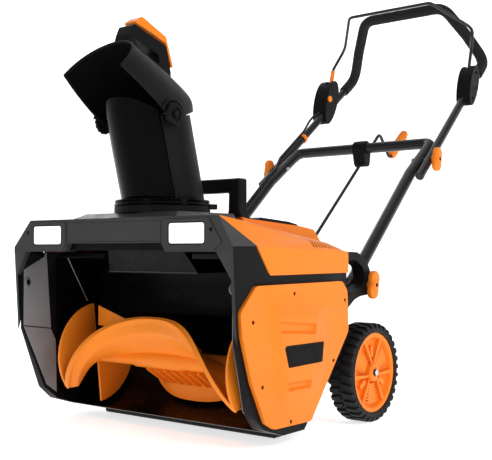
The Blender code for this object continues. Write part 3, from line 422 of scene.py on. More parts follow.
def dress(node, look, width):
    """Stand a copy with rounded edges in for a CAD node."""
    piece = soften(copy_node(node + "_skin", node), width)
    return put(piece, BODY_OF[node], look, SLOT_OF[node], node)


keep(STEEL, "motor", "motor_shaft", "motor_pulley", "auger_pulley", "auger_shaft",
     "auger_bearing_left", "auger_bearing_right", "wheel_axle", "pinion_shaft",
     "crank_drive_shaft")
keep(RUBBER, "scraper_bar", "drive_belt")
keep(BLACK, "battery_cradle", "battery_pack")
keep(ORANGE, "bail_cam", "cable_clip", "safety_button")
keep(HOOD_GREY, "chute_ring_gear", "chute_base_collar")
keep(SCOOP, "discharge_funnel")

for node, look, width in (("front_bezel", GREY, 0.0012), ("rear_body", BLACK, 0.0015),
                          ("rear_bracket_left", BLACK, 0.004),
                          ("rear_bracket_right", BLACK, 0.004),
                          ("carry_handle", BLACK, 0.003), ("crank_bracket", BLACK, 0.0015)):
    dress(node, look, width)


# ---- housing
INNER_WALL = 0.243        # |X| of the scoop's side walls
SCOOP_REAR = 0.215        # depth behind which the housing's faces are outside ones
SKIRT = 0.262             # |X| past which the bezel's side faces are black
# the ends of a painted highlight line on the left inner wall
GLINT_TOP, GLINT_FOOT = (0.1035, 0.3250), (0.1625, 0.2273)
EYELET = (0.0215, 0.2690)


def flared(depth, inwards=0.0):
    """X of the mouth's flared side wall at a depth, on its inner face."""
    return 0.268 - 0.25 * (depth + 0.02) - inwards


def make_housing():
    """The housing, black outside, with a darker glossy scoop whose extra darkness is painted
    shade, and inner side walls in a grey that is painted light.
    """
    bezel = bpy.data.objects["front_bezel_skin"]
    bezel.data.materials.append(BODY_BLACK)
    for face in bezel.data.polygons:
        if abs(face.normal.x) > 0.6 and abs(face.center.x) > SKIRT:
            face.material_index = 1
    shell = dress("auger_housing", BODY_BLACK, 0.0012)
    # faces inside the scoop get the darker black that is painted shade
    shell.data.materials.append(SCOOP)
    for face in shell.data.polygons:
        x, sideways = abs(face.center.x), abs(face.normal.x) > 0.9
        inside = x < INNER_WALL + 0.0015 and not sideways and face.center.y < FRONT + SCOOP_REAR
        if inside or (sideways and abs(x - INNER_WALL) < 0.0006):
            face.material_index = 1

    # the inner side wall panels and their eyelets, in the grey that is painted light
    def liner(word, sign):
        facets = {"upper": ((0.0140, 0.326, 0.0), (0.0140, 0.186, 0.0), (0.0690, 0.178, 0.0),
                            (0.0590, 0.326, 0.0)),
                  "lower": ((0.0140, 0.184, 0.0), (0.0690, 0.176, 0.0), (0.0790, 0.154, 0.0),
                            (0.0590, 0.068, 0.0035), (0.0790, 0.052, 0.0035))}
        for facet, corners in facets.items():
            panel = hull("liner_%s_%s" % (facet, word),
                         [spot(sign * flared(d, inwards + a), (d, z)) for d, z, inwards in corners
                          for a in (0.0002, 0.0020)])
            if facet == "upper":
                cut(panel, across("cut_liner", EYELET, -0.3, 0.3, 0.0068))
            put(soften(panel, 0.0005), "chassis", LIT_WALL_GREY, "black_plastic")
        eye = lathe("liner_eyelet_" + word, [(0.0062, -0.0012), (0.0096, -0.0012),
                                             (0.0102, 0.0006), (0.0094, 0.0016),
                                             (0.0062, 0.0016)],
                    spot(sign * flared(EYELET[0], 0.0020), EYELET), (-sign, 0.25, 0), 40)
        put(eye, "chassis", LIT_WALL_GREY, "black_plastic")
        gusset = hull("corner_gusset_" + word, places(
            [(sign * x, d, z) for x, d, z in
             ((0.2590, 0.0130, 0.326), (0.2590, 0.0130, 0.292), (0.2480, 0.0560, 0.326),
              (0.2260, 0.0130, 0.326), (0.2480, 0.0560, 0.318))]))
        put(soften(gusset, 0.001), "chassis", DARK, "black_plastic")

    sides(liner)
    ceiling = hull("mouth_ceiling", [spot(sign * x, (d, z)) for sign in (1, -1)
                                     for x, d in ((0.255, 0.0125), (0.240, 0.0900))
                                     for z in (0.3310, 0.3330)])
    put(ceiling, "chassis", SCOOP, "black_plastic")
    header = box("mouth_header", (-0.2560, 0.0126, 0.3305), (0.2560, 0.0146, 0.3446))
    put(header, "chassis", SCOOP, "black_plastic")
    # a painted highlight: a thin bright steel line along the edge on the left wall; and a lip
    # along the funnel's foot
    glint_path = dense([spot(-INNER_WALL + 0.0008, place) for place in (GLINT_TOP, GLINT_FOOT)], 0.02)
    put(tube("scoop_edge_highlight", glint_path, 0.0008, 8), "chassis", STEEL, "black_plastic")
    lip = box("funnel_lip", (-0.1115, 0.0985, 0.2890), (0.1115, 0.1003, 0.2920))
    put(lip, "chassis", GREY, "black_plastic")


# ---- front bezel
POD = [(0.1205, 0.3815), (0.1205, 0.3430), (0.1300, 0.3305), (0.2300, 0.3305), (0.2480, 0.3440),
       (0.2205, 0.3830)]
POD_SCREW = (0.2270, 0.3640)


def rectangle(low, high):
    return [low, (high[0], low[1]), high, (low[0], high[1])]


def make_front():
    def pod(word, sign):
        def layer(name, outline, low, high):
            return prism(name, [(sign * x, z) for x, z in outline], "front", low, high)

        opening = rounded(rectangle((0.1330, 0.3400), (0.2130, 0.3772)), 0.006, 4)
        plate = layer("pod_frame_" + word, rounded(POD, 0.003, 2), -0.0024, 0.0006)
        cut(plate, layer("cut_pod", opening, -0.01, 0.01),
            rod("cut_screw", spot(sign * POD_SCREW[0], (-0.01, POD_SCREW[1])),
                spot(sign * POD_SCREW[0], (0.01, POD_SCREW[1])), 0.0036, 20))
        put(soften(plate, 0.0010), "chassis", GREY, "grey_plastic")
        gasket = layer("lens_gasket_" + word, opening, -0.0004, 0.0008)
        inner = rounded(rectangle((0.1352, 0.3422), (0.2108, 0.3750)), 0.005, 4)
        cut(gasket, layer("cut_gasket", inner, -0.01, 0.01))
        put(gasket, "chassis", DARK, "rubber")
        lens = layer("headlight_" + word,
                     rounded(rectangle((0.1347, 0.3417), (0.2113, 0.3755)), 0.005, 4),
                     -0.0006, 0.0100)
        put(soften(lens, 0.0008), "chassis", LENS, "headlight_lens", "headlight_lens_" + word)
        screw = lathe("pod_screw_" + word, [(0.0, 0.0), (0.0014, 0.0), (0.0014, 0.0010),
                                            (0.0034, 0.0016), (0.0034, -0.0006), (0.0, -0.0006)],
                      spot(sign * POD_SCREW[0], (0.0004, POD_SCREW[1])), (0, -1, 0), 20)
        put(screw, "chassis", DARK, "black_plastic")

    sides(pod)
    # a shallow raised face between the pods, with a lip along its foot
    for name, side, foot, top, low, high in (
            ("top_bar_face", 0.117, 0.3460, 0.3800, -0.0010, 0.0006),
            ("top_bar_lip", 0.1150, 0.3432, 0.3455, -0.0016, 0.0100)):
        bar = prism(name, [(-side, top), (-side, foot), (side, foot), (side, top)], "front",
                    low, high)
        put(soften(bar, 0.0006), "chassis", GREY, "grey_plastic")


# ---- side covers
COVER = [(0.057, 0.273), (0.319, 0.274), (0.336, 0.255), (0.339, 0.181), (0.214, 0.034),
         (0.106, 0.036), (0.081, 0.049), (0.045, 0.118), (0.020, 0.193), (0.015, 0.232)]
PLATEAU = [(0.105, 0.226), (0.232, 0.213), (0.209, 0.088), (0.133, 0.089)]
COVER_SCREWS = [(0.164, 0.257), (0.327, 0.239), (0.048, 0.215), (0.287, 0.132), (0.073, 0.109),
                (0.153, 0.042)]


def grown(outline, distance):
    """The convex outline moved outwards by a distance."""
    centre = sum((Vector(p) for p in outline), Vector((0, 0))) / len(outline)
    result = []
    for i, here in enumerate(outline):
        here = Vector(here)
        a = (here - Vector(outline[i - 1])).normalized()
        b = (Vector(outline[(i + 1) % len(outline)]) - here).normalized()
        out = Vector((a.y + b.y, -a.x - b.x)).normalized()
        if out.dot(here - centre) < 0:
            out = -out
        sharp = max(0.5, abs(out.dot(Vector((a.y, -a.x)))))
        result.append(tuple(here + out * distance / sharp))
    return result


def make_covers():
    face = 0.2735
    # the raised field's steps: how far out of the face, how far past its outline
    steps = ((-0.0030, 0.0180), (0.0, 0.0150), (0.0024, 0.0095), (0.0052, 0.0010),
             (0.0062, -0.0040))
    recesses = ([(0.114, 0.212), (0.222, 0.202), (0.220, 0.186), (0.117, 0.194)],
                [(0.137, 0.108), (0.206, 0.107), (0.204, 0.095), (0.139, 0.096)])
    screw = [(0.0, 0.0004), (0.0013, 0.0004), (0.0016, 0.0016), (0.0034, 0.0014), (0.0034, 0.0),
             (0.0, 0.0)]

    def cover(word, sign):
        plate = prism("cover_" + word, rounded(COVER, 0.016, 5), "side",
                      *span(sign, 0.2664, face))
        join(plate, hull("cover_plateau", [spot(sign * (face + out), p) for out, grow in steps
                                           for p in rounded(grown(PLATEAU, grow), 0.012, 4)]))
        for outline in recesses:
            cut(plate, hull("cut_recess", [spot(sign * (face + out), p)
                                           for out, grow in ((0.0006, -0.003), (0.0085, 0.003))
                                           for p in grown(outline, grow)]))
        cut(plate, *[across("cut_screw", p, *span(sign, 0.2700, 0.2800), 0.0036)
                     for p in COVER_SCREWS])
        soften(plate, 0.0016, 3, 26)
        put(plate, "chassis", ORANGE, "orange_plastic", "side_cover_" + word)
        heads = [lathe("head", screw, spot(sign * 0.2702, p), (sign, 0, 0), 16)
                 for p in COVER_SCREWS]
        put(gather("cover_screws_" + word, heads), "chassis", DARK, "black_plastic")

    sides(cover)
    label = [(0.1310, 0.1710), (0.2445, 0.1700), (0.2395, 0.1350), (0.1380, 0.1340),
             (0.1270, 0.1670)]
    plate = prism("blank_label", rounded(label, 0.0020, 3), "side", face + 0.0058, face + 0.0072)
    put(soften(plate, 0.0004), "chassis", LABEL, "black_plastic", "label_plate")


# ---- hood
RIDGE_PLANES = ((0.3479, 0.255, 0.402, 0.141), (0.3331, 0.268, 1.295, 0.038))
VENTS, VENT_PITCH, VENT_START = 11, 0.0094, 0.2330


def hood_side(sign, x, depth, lift):
    """A point over the hood's side, whose two slopes meet at a ridge."""
    height = min(level - slope * (x - across_x) - fall * (depth - 0.23)
                 for level, across_x, slope, fall in RIDGE_PLANES)
    return spot(sign * x, (depth, height + lift))


def make_hood():
    hood = copy_node("hood_shell", "top_hood")
    slots, slot_shades = [], []
    for sign in (1, -1):
        for i in range(VENTS):
            depth = VENT_START + i * VENT_PITCH
            for group, low, high, wide in ((slots, -0.0060, 0.0050, 0.0021),
                                           (slot_shades, -0.0058, -0.0012, 0.0020)):
                group.append(hull("slot", [
                    hood_side(sign, x, depth + slant + side, lift)
                    for x, slant in ((0.2360, 0.0), (0.2573, 0.003), (0.2620, 0.004),
                                     (0.2655, 0.005))
                    for side in (-wide, wide) for lift in (low, high)]))
    cut(hood, *slots)
    put(soften(hood, 0.0007, 2, 24), "chassis", ORANGE, "orange_plastic", "top_hood")
    # the dark fills at the slot floors are painted shade, for the dark seen into the vents
    put(gather("vent_slot_shade", slot_shades), "chassis", DARK, "black_plastic")

    lid = copy_node("lid_shell", "battery_lid")
    put(soften(lid, 0.002, 3), "battery_cover", BLACK, "black_plastic", "battery_lid")
    latch = hull("lid_latch", places([(x, d, z) for x in (-0.022, 0.022) for d, z in
                                      ((0.288, 0.3925), (0.312, 0.3940), (0.288, 0.3950),
                                       (0.306, 0.3985))]))
    put(soften(latch, 0.0010), "battery_cover", BLACK, "black_plastic")


# ---- auger
FLIGHT_LEFT, FLIGHT_RIGHT = -0.172, 0.2345
BLADE_ANGLE, FLIGHT_TWIST = math.radians(125), math.radians(92)
WEB_LEAD = math.radians(12)


def make_auger():
    """Two blades whose flights wind back towards both ends, closed there by end plates."""
    radius = 0.098
    rows = 150
    middle = (FLIGHT_LEFT + FLIGHT_RIGHT) / 2
    half = (FLIGHT_RIGHT - FLIGHT_LEFT) / 2
    shapes = []

    def place(x, r, angle):
        return spot(x, (AUGER[0] + r * math.cos(angle), AUGER[1] + r * math.sin(angle)))

    for start in (BLADE_ANGLE, BLADE_ANGLE + math.pi):
        bm = bmesh.new()
        rings = []
        for row in range(rows + 1):
            x = middle + half * (2 * row / rows - 1)
            tip = start + FLIGHT_TWIST * (abs(x - middle) / half) ** 2.3
            # the web, its step, the upright rim band and the bead along the rim
            path = [(0.0140, 1.0, 0.0020), (0.0700, 1.0, 0.0020), (0.0765, 0.99, 0.0022),
                    (0.0800, 0.86, 0.0024), (0.0880, 0.42, 0.0022), (0.0945, 0.12, 0.0022),
                    (0.0955, 0.07, 0.0031), (radius - 0.0004, 0.0, 0.0028)]
            sideways = Vector((0, -math.sin(tip), math.cos(tip)))
            away = x - middle
            skew = -math.copysign(1.1 * min(1.0, abs(away) / 0.05), away)
            ring = []
            for sign, order in ((1, path), (-1, reversed(path))):
                for r, lead, thick in order:
                    shift = (sideways + Vector((skew, 0, 0))) * sign * thick
                    ring.append(bm.verts.new(place(x, r, tip + WEB_LEAD * lead) + shift))
            rings.append(ring)
        count = len(rings[0])
        for first, second in zip(rings, rings[1:]):
            for i in range(count):
                j = (i + 1) % count
                bm.faces.new((first[i], first[j], second[j], second[i]))
        bm.faces.new(rings[0])
        bm.faces.new(rings[-1])
        shapes.append(add("blade_%d" % round(math.degrees(start)), bm, 34))
        web = start + WEB_LEAD
        outward = Vector((0, math.cos(web), math.sin(web)))
        behind = -Vector((0, -math.sin(web), math.cos(web)))
        for i in range(7):
            axis = spot(middle + (i - 3) * 0.021, AUGER)
            corners = [axis + outward * r + behind * b + Vector((t, 0, 0))
                       for r, b in ((0.010, 0.001), (0.076, 0.001), (0.066, 0.009), (0.010, 0.019))
                       for t in (-0.0016, 0.0016)]
            shapes.append(hull("blade_rib", corners))
        last = start + FLIGHT_TWIST + math.radians(3)
        for x, sweep in ((FLIGHT_LEFT, math.radians(124)), (FLIGHT_RIGHT, math.radians(74))):
            arc = [last - sweep * i / 36 for i in range(37)]
            outline = [(AUGER[0] + r * math.cos(a), AUGER[1] + r * math.sin(a))
                       for r, angles in ((radius - 0.0006, arc), (0.0150, reversed(arc)))
                       for a in angles]
            plate = prism("end_plate", outline, "side", x - 0.0023, x + 0.0023)
            soften(plate, 0.0008, 2)
            shapes.append(settle(plate))
    fin = [(-0.140, 0.0976, 105), (-0.140, 0.0620, 114), (-0.036, 0.0970, 128),
           (-0.036, 0.0790, 134)]
    shapes.append(hull("fin", [place(x + s, r, math.radians(a))
                               for x, r, a in fin for s in (-0.0018, 0.0018)]))
    core = [(0.0094, -0.2375), (0.0190, -0.2375), (0.0190, -0.2310), (0.0165, -0.2290),
            (0.0165, -0.062), (0.0190, -0.058)]
    core += [(r, -x) for r, x in reversed(core)]
    shapes.append(lathe("auger_core", core, spot(0, AUGER), (1, 0, 0), 40))
    put(gather("auger_flights", shapes), "auger", AUGER_ORANGE, "orange_plastic", "auger_rotor")


# ---- wheels
def make_wheels():
    """Tyres with two rows of lugs, and ribbed hubs with three V-shaped spokes."""
    lugs = 34

    def wheel(word, sign):
        middle = sign * 0.254
        half = 0.026
        base = 0.0912
        tread = [(0.0768, half - 0.002), (0.0790, half - 0.0004), (0.0800, half + 0.0002),
                 (0.0815, half - 0.0010), (base - 0.006, half - 0.0008),
                 (base - 0.002, half - 0.004), (base, half - 0.010), (base, -half + 0.010),
                 (base - 0.002, -half + 0.004), (base - 0.006, -half + 0.0008),
                 (0.0815, -half + 0.0010), (0.0790, -half + 0.0004), (0.0768, -half + 0.002)]
        centre = spot(middle, WHEEL)
        shapes = [lathe("tyre_base", tread, centre, (1, 0, 0), 96)]

        def at(r, turn, x):
            a = 2 * math.pi * turn / lugs
            return centre + Vector((x, r * math.cos(a), r * math.sin(a)))

        for i in range(lugs):
            for row, shift in ((1, 0.0), (-1, 0.5)):
                t = i + shift
                corners = [at(r, t + dt, row * x) for r, dt, x in (
                    (0.0950, -0.27, 0.0030), (0.0950, 0.19, 0.0030), (0.0950, -0.10, 0.0190),
                    (0.0950, 0.36, 0.0190), (0.0905, -0.31, 0.0022), (0.0905, 0.23, 0.0022),
                    (0.0925, -0.05, 0.0245), (0.0925, 0.40, 0.0245), (0.0850, -0.06, 0.0266),
                    (0.0850, 0.40, 0.0266), (0.0840, 0.00, 0.0240), (0.0840, 0.34, 0.0240))]
                shapes.append(hull("lug", corners))
        tyre = gather("tyre_tread_" + word, shapes)
        put(tyre, word + "_wheel", RUBBER, "tyre_rubber", "tyre_" + word)

        def polar(r, degrees, x):
            a = math.radians(degrees)
            return centre + Vector((sign * x, r * math.cos(a), r * math.sin(a)))

        disc = [(0.0064, 0.0235), (0.0150, 0.0235), (0.0175, 0.0220), (0.0190, 0.0120),
                (0.0230, 0.0100), (0.0640, 0.0120), (0.0680, 0.0210), (0.0720, 0.0225),
                (0.0764, 0.0220), (0.0764, -0.0210), (0.0700, -0.0210), (0.0660, 0.0060),
                (0.0200, 0.0050), (0.0170, -0.0240), (0.0064, -0.0240)]
        shapes = [lathe("hub_disc", disc, centre, (sign, 0, 0), 72)]
        for k in range(3):
            middle_turn = 90 + 120 * k
            for off in (-26, 26):
                # the two walls of a V-shaped spoke
                corners = [polar(r, middle_turn + off * share + d, x)
                           for r, share, d in ((0.0150, 0.30, 9), (0.0150, 0.30, -9),
                                               (0.0690, 1.0, 3.6), (0.0690, 1.0, -3.6))
                           for x in (0.0080, 0.0200)]
                shapes.append(hull("spoke_wall", corners))
            corners = [polar(r, middle_turn + d, x) for r, d in
                       ((0.030, 9), (0.030, -9), (0.052, 5), (0.052, -5)) for x in (0.009, 0.0175)]
            shapes.append(hull("spoke_pad", corners))
            for rib in range(7):
                r = 0.026 + rib * 0.0056
                spread = 30 - rib * 1.2
                ring = [polar(rr, middle_turn + 60 + d, x)
                        for rr in (r - 0.0011, r + 0.0011)
                        for d in (-spread, -spread / 2, 0, spread / 2, spread)
                        for x in (0.0080, 0.0158)]
                shapes.append(hull("fine_rib", ring))
        hub = gather("wheel_disc_" + word, shapes)
        soften(hub, 0.0008, 2, 35)
        put(hub, word + "_wheel", ORANGE, "orange_plastic", "wheel_hub_" + word)
        cap = lathe("axle_cap_" + word, [(0.0, 0.0), (0.0052, 0.0), (0.0068, 0.0014),
                                         (0.0068, 0.0036), (0.0, 0.0036)],
                    spot(sign * 0.2776, WHEEL), (sign, 0, 0), 32)
        put(cap, "chassis", BLACK, "steel")

    sides(wheel)


# ---- chute and deflector
def on_chute(radius, degrees, height):
    """A point of the chute's leaning tube."""
    angle = math.radians(degrees)
    lean = CHUTE - CHUTE_LEAN * (height - CHUTE_FOOT)
    return spot(radius * math.cos(angle), (lean + radius * math.sin(angle), height))


def make_chute():
    for name, low, high, radius in (("ring_band_low", 0.4112, 0.4156, 0.0895),
                                    ("ring_band_high", 0.4168, 0.4224, 0.0880)):
        band = lathe(name, [(0.0860, low), (radius - 0.0008, low), (radius, low + 0.0010),
                            (radius, high - 0.0010), (radius - 0.0008, high), (0.0860, high)],
                     spot(0, (CHUTE, 0)), (0, 0, 1), 96)
        put(band, "chute", GLOSS, "grey_plastic")
    lug = hull("ring_lug", places([(x, d, z) for x, d in ((0.0700, 0.1760), (0.0790, 0.1700),
                                                          (0.0850, 0.1860), (0.0770, 0.1920))
                                   for z in (0.4060, 0.4160)]))
    put(soften(lug, 0.0015), "chute", BLACK, "grey_plastic")
    teeth = [hull("tooth", [spot(r * math.cos(t), (CHUTE + r * math.sin(t), z))
                            for r in (0.0786, 0.0822)
                            for t in (math.radians(5.5 * i - 24), math.radians(5.5 * i - 20.6))
                            for z in (0.4232, 0.4275)]) for i in range(5)]
    put(gather("latch_teeth", teeth), "chute", BLACK, "black_plastic")
    # the raised edge where the rear shell laps over the front shell
    for word, degrees in (("right", -29), ("left", 209)):
        path = [on_chute(0.0776, degrees, 0.4240 + 0.142 * i / 20) for i in range(21)]
        put(tube("shell_edge_" + word, path, 0.0011, 8), "chute", HOOD_GREY, "black_plastic")


def skin(name, rows, thickness):
    """A smooth wall of even thickness through a grid of points."""
    bm = bmesh.new()
    grid = [[bm.verts.new(p) for p in row] for row in rows]
    for upper, lower in zip(grid, grid[1:]):
        for a, b, c, d in zip(upper, upper[1:], lower[1:], lower):
            bm.faces.new((a, b, c, d))
    obj = add(name, bm, 60)
    solid = obj.modifiers.new("wall", "SOLIDIFY")
    solid.thickness, solid.offset, solid.use_even_offset = thickness, 0.0, True
    return settle(obj, 60)


def make_shells():
    def shell(name, node, radius, start, end, top, look, slot):
        columns = [start + (end - start) * column / 64 for column in range(65)]
        rows = [[on_chute(radius, degrees, CHUTE_FOOT + row / 6 * (top(degrees) - CHUTE_FOOT))
                 for degrees in columns] for row in range(7)]
        put(skin(name, rows, 0.0026), "chute", look, slot, node)

    shell("chute_front_skin", "chute_front_shell", 0.0738, -156, -24,
          lambda a: 0.600 - 0.030 * ((a + 90) / 65) ** 2, GLOSS, "gloss_black_plastic")
    shell("chute_rear_skin", "chute_rear_shell", 0.0770, -29, 209,
          lambda a: 0.570 + 0.012 * max(0.0, math.sin(math.radians(a))), BLACK, "black_plastic")


def make_deflector():
    """The tilting hood with its beaded edges, the grip with its lever, and the dials."""
    # depth and height of the foot and of the crown, and the half width, from rear to front
    stations = [Vector(v) for v in ((0.066, 0.560, 0.1705, 0.5950, 0.0832),
                                    (0.045, 0.573, 0.1665, 0.6190, 0.0834),
                                    (0.020, 0.590, 0.1180, 0.6480, 0.0830),
                                    (-0.014, 0.614, 0.0620, 0.6740, 0.0790),
                                    (-0.047, 0.638, 0.0130, 0.6975, 0.0720))]
    rows = []
    for step in range(25):
        place = step / 24 * (len(stations) - 1)
        i = min(int(place), len(stations) - 2)
        t = place - i
        p = [stations[max(0, min(len(stations) - 1, i + k))] for k in (-1, 0, 1, 2)]
        # a smooth curve through the stations
        foot_d, foot_h, top_d, top_h, half = 0.5 * (
            2 * p[1] + (p[2] - p[0]) * t + (2 * p[0] - 5 * p[1] + 4 * p[2] - p[3]) * t ** 2
            + (3 * p[1] - p[0] - 3 * p[2] + p[3]) * t ** 3)
        row = []
        for column in range(49):
            angle = math.pi * column / 48
            rise = math.sin(angle) ** 0.8
            row.append(spot(half * math.cos(angle), (foot_d + (top_d - foot_d) * rise,
                                                     foot_h + (top_h - foot_h) * rise)))
        rows.append(row)
    hood = skin("deflector_hood_shell", rows, 0.0026)
    bead = tube("deflector_lip_bead", rows[-1], 0.0026, 12)
    put(bead, "deflector_hood", HOOD_GREY, "grey_plastic")
    for word, column in (("right", 0), ("left", -1)):
        edge = tube("deflector_edge_" + word, [row[column] for row in rows], 0.0020, 10)
        put(edge, "deflector_hood", HOOD_GREY, "grey_plastic")
    inside = spot(0, (0.035, 0.605))
    put(hood, "deflector_hood", HOOD_GREY, "grey_plastic", "deflector")
    # inside faces get the darker material that is painted shade
    hood.data.materials.append(INNER)
    for face in hood.data.polygons:
        out = Vector((face.center.x, (face.center.y - inside.y) * 0.7,
                      (face.center.z - inside.z)))
        if face.normal.dot(out) < 0:
            face.material_index = 1

    outline = rounded([(0.0190, 0.6960), (0.0242, 0.7130), (0.0335, 0.7330), (0.1190, 0.7070),
                       (0.1310, 0.6600), (0.1310, 0.6410), (0.1060, 0.6550), (0.0560, 0.6780)],
                      0.007, 4)
    slot_hole = rounded([(0.0340, 0.7080), (0.0985, 0.6880), (0.1010, 0.6700), (0.0450, 0.6930)],
                        0.004, 3)
    grip = prism("grip_loop", outline, "side", -0.0175, 0.0175)
    cut(grip, prism("cut_grip", slot_hole, "side", -0.03, 0.03))
    put(soften(grip, 0.0026, 3), "deflector_hood", BLACK, "black_plastic", "deflector_grip")
    lever = prism("squeeze_lever", rounded([(0.0390, 0.7375), (0.0592, 0.7510), (0.1215, 0.7260),
                                            (0.1410, 0.6720), (0.1355, 0.6720),
                                            (0.1205, 0.7140), (0.0800, 0.7270)], 0.003, 3),
                  "side", -0.0145, 0.0145)
    put(soften(lever, 0.0018, 3), "deflector_trigger", ORANGE, "orange_plastic", "deflector_lever")

    def knob(word, sign):
        profile = [(0.0, 0.0), (0.0185, 0.0), (0.0200, 0.0016), (0.0200, 0.0052),
                   (0.0186, 0.0072), (0.0130, 0.0076), (0.0118, 0.0052), (0.0066, 0.0052),
                   (0.0058, 0.0104), (0.0, 0.0108)]

        def at(x, r, angle):
            return spot(sign * x, (DEFLECTOR_PIVOT[0] + r * math.cos(angle),
                                   DEFLECTOR_PIVOT[1] + r * math.sin(angle)))

        shapes = [lathe("dial", profile, at(0.0852, 0, 0), (sign, 0, 0), 48)]
        for i in range(14):
            a = 2 * math.pi * i / 14
            shapes.append(hull("notch", [at(x, r, a + d) for x in (0.0862, 0.0906)
                                         for r in (0.0190, 0.0214) for d in (-0.10, 0.10)]))
        put(gather("ratchet_dial_" + word, shapes), "deflector_hood", BLACK, "black_plastic",
            "deflector_knob_" + word)
        # the raised quarter over the dial where the hood is thickened
        path = [at(0.0858, 0.0262, math.radians(20 + 150 * i / 16)) for i in range(17)]
        put(tube("dial_guard_" + word, path, 0.0028, 10), "deflector_hood", HOOD_GREY,
            "grey_plastic")

    sides(knob)


# ---- handles and controls
def lower_leg(sign, depth):
    low, high = (LOWER_PIVOT, LOWER_KNEE) if depth < LOWER_KNEE[0] else (LOWER_KNEE, CROSSBAR)
    height = low[1] + (high[1] - low[1]) * (depth - low[0]) / (high[0] - low[0])
    return spot(sign * (LOWER_LEG + LOWER_TAPER * (depth - LOWER_PIVOT[0])), (depth, height))


def upper_leg(sign, depth):
    return spot(sign * (UPPER_LEG + UPPER_TAPER * (depth - FOLD[0])),
                (depth, FOLD[1] + UPPER_SLOPE * (depth - FOLD[0])))


def mirrored(right):
    return right + [Vector((-p.x, p.y, p.z)) for p in reversed(right)]


def loop_path(start):
    """The upper handle's path, from a depth on the right leg to the same on the left."""
    return bent(mirrored([upper_leg(1, start)] + [spot(x, (d, h)) for x, d, h in LOOP]), 0.045, 8)


def make_tubes():
    """The bent tubes and wires: lower handle, upper handle, bail and crank."""
    right = [lower_leg(1, depth) for depth in (0.4490, LOWER_KNEE[0], 0.829)]
    path = bent(mirrored(right + [spot(0.1885, CROSSBAR)]), 0.022, 10)
    put(tube("lower_frame_tube", dense(path, 0.02), 0.0130, 28), "chassis", TUBE,
        "painted_tube", "lower_handle")
    put(tube("upper_frame_tube", dense(loop_path(0.7330), 0.02), 0.0100, 28), "upper_frame",
        TUBE, "painted_tube", "upper_handle")
    right = [spot(BAIL_FOOT, BAIL_PIVOT), spot(BAIL_FOOT, BAIL_ELBOW),
             spot(0.1940, (1.0950, 0.9080)), spot(0.1207, (0.9985, 0.9665))]
    put(tube("bail_wire", dense(bent(mirrored(right), 0.022, 8), 0.02), 0.0040, 16),
        "bail_bar", TUBE, "painted_tube", "bail")
    length = math.dist(CRANK_FOOT, CRANK_TOP)
    path = [spot(0, CRANK_FOOT), spot(0, CRANK_TOP), spot(0, along_crank(length, 0.080)),
            spot(0, along_crank(length + 0.118, 0.080))]
    put(tube("crank_wire", dense(bent(path, 0.014, 8), 0.02), 0.0040, 16), "crank", TUBE,
        "painted_tube", "crank_rod")


def make_grip():
    """The foam sleeve round the handle loop, slightly uneven, between two cuffs."""
    def swell(share):
        edge = min(1.0, min(share, 1 - share) / 0.012)
        return 0.90 + 0.10 * edge + 0.006 * math.sin(share * 150)

    grip = tube("foam_sleeve", dense(loop_path(GRIP_START), 0.006), 0.0141, 24, swell)
    put(grip, "upper_frame", FOAM, "foam", "foam_grip")
    cuffs = [rod("cuff", upper_leg(sign, GRIP_START - 0.004), upper_leg(sign, GRIP_START + 0.003),
                 0.0138, 32) for sign in (1, -1)]
    put(gather("grip_cuffs", cuffs), "upper_frame", FOAM, "black_plastic")


def make_boxes():
    depth, height = 1.0203, 0.7446
    for node, x, sign in (("switch_box", 0.2340, -1), ("pivot_box", 0.2300, 1)):
        case = copy_node(node + "_case", node, 2.0)
        put(soften(case, 0.0036, 3, 40), "upper_frame", BLACK, "black_plastic", node)
        heads = []
        for dd, dh in ((-0.012, -0.034), (0.012, 0.034), (0.014, -0.004)):
            heads.append(lathe("head", [(0.0, 0.0002), (0.0016, 0.0002), (0.0020, 0.0010),
                                        (0.0040, 0.0012), (0.0040, -0.001), (0.0, -0.001)],
                               spot(sign * x, (depth + dd, height + dh)), (sign, 0, 0), 20))
        put(gather(node + "_screws", heads), "upper_frame", DARK, "black_plastic")


def make_knobs():
    def knob(name, body, place, sign, inner, stud_end):
        outline = []
        for step in range(60):
            angle = 2 * math.pi * step / 60
            wing = abs(math.cos(angle - math.radians(80)))
            radius = 0.0118 + 0.0160 * wing ** 1.6
            outline.append((place[0] + radius * math.cos(angle),
                            place[1] + radius * math.sin(angle)))
        wings = prism(name + "_wings", outline, "side",
                      *span(sign, inner + 0.0030, inner + 0.0150))
        soften(wings, 0.0042, 4, 30)
        settle(wings)
        boss = lathe("boss", [(0.0, 0.0004), (0.0115, 0.0004), (0.0122, 0.0020), (0.0122, 0.0090),
                              (0.0110, 0.0160), (0.0085, 0.0168), (0.0, 0.0168)],
                     spot(sign * inner, place), (sign, 0, 0), 32)
        stud = across("stud", place, *span(sign, stud_end, inner + 0.002), 0.0040)
        put(gather(name + "_winged", [wings, boss]), body, ORANGE, "orange_plastic", name)
        nut = across("nut", place, *span(sign, stud_end - 0.002, stud_end + 0.0015), 0.0062, 6)
        put(gather(name + "_bolt", [stud, nut]), body, STEEL, "steel")
        pin = lathe(name + "_pin", [(0.0, 0.0), (0.0040, 0.0), (0.0040, 0.0010), (0.0, 0.0014)],
                    spot(sign * (inner + 0.0164), place), (sign, 0, 0), 6)
        put(pin, body, DARK, "steel")

    def pair(word, sign):
        knob("upper_knob_" + word, "upper_" + word + "_knob", FOLD, sign, 0.2293, 0.1780)
        knob("lower_knob_" + word, "lower_" + word + "_knob", LOWER_PIVOT, sign, 0.2484, 0.1900)

    sides(pair)


def along_crank(distance, drop=0.0):
    slope = math.atan2(CRANK_TOP[1] - CRANK_FOOT[1], CRANK_TOP[0] - CRANK_FOOT[0])
    return (CRANK_FOOT[0] + distance * math.cos(slope) + drop * math.sin(slope),
            CRANK_FOOT[1] + distance * math.sin(slope) - drop * math.cos(slope))


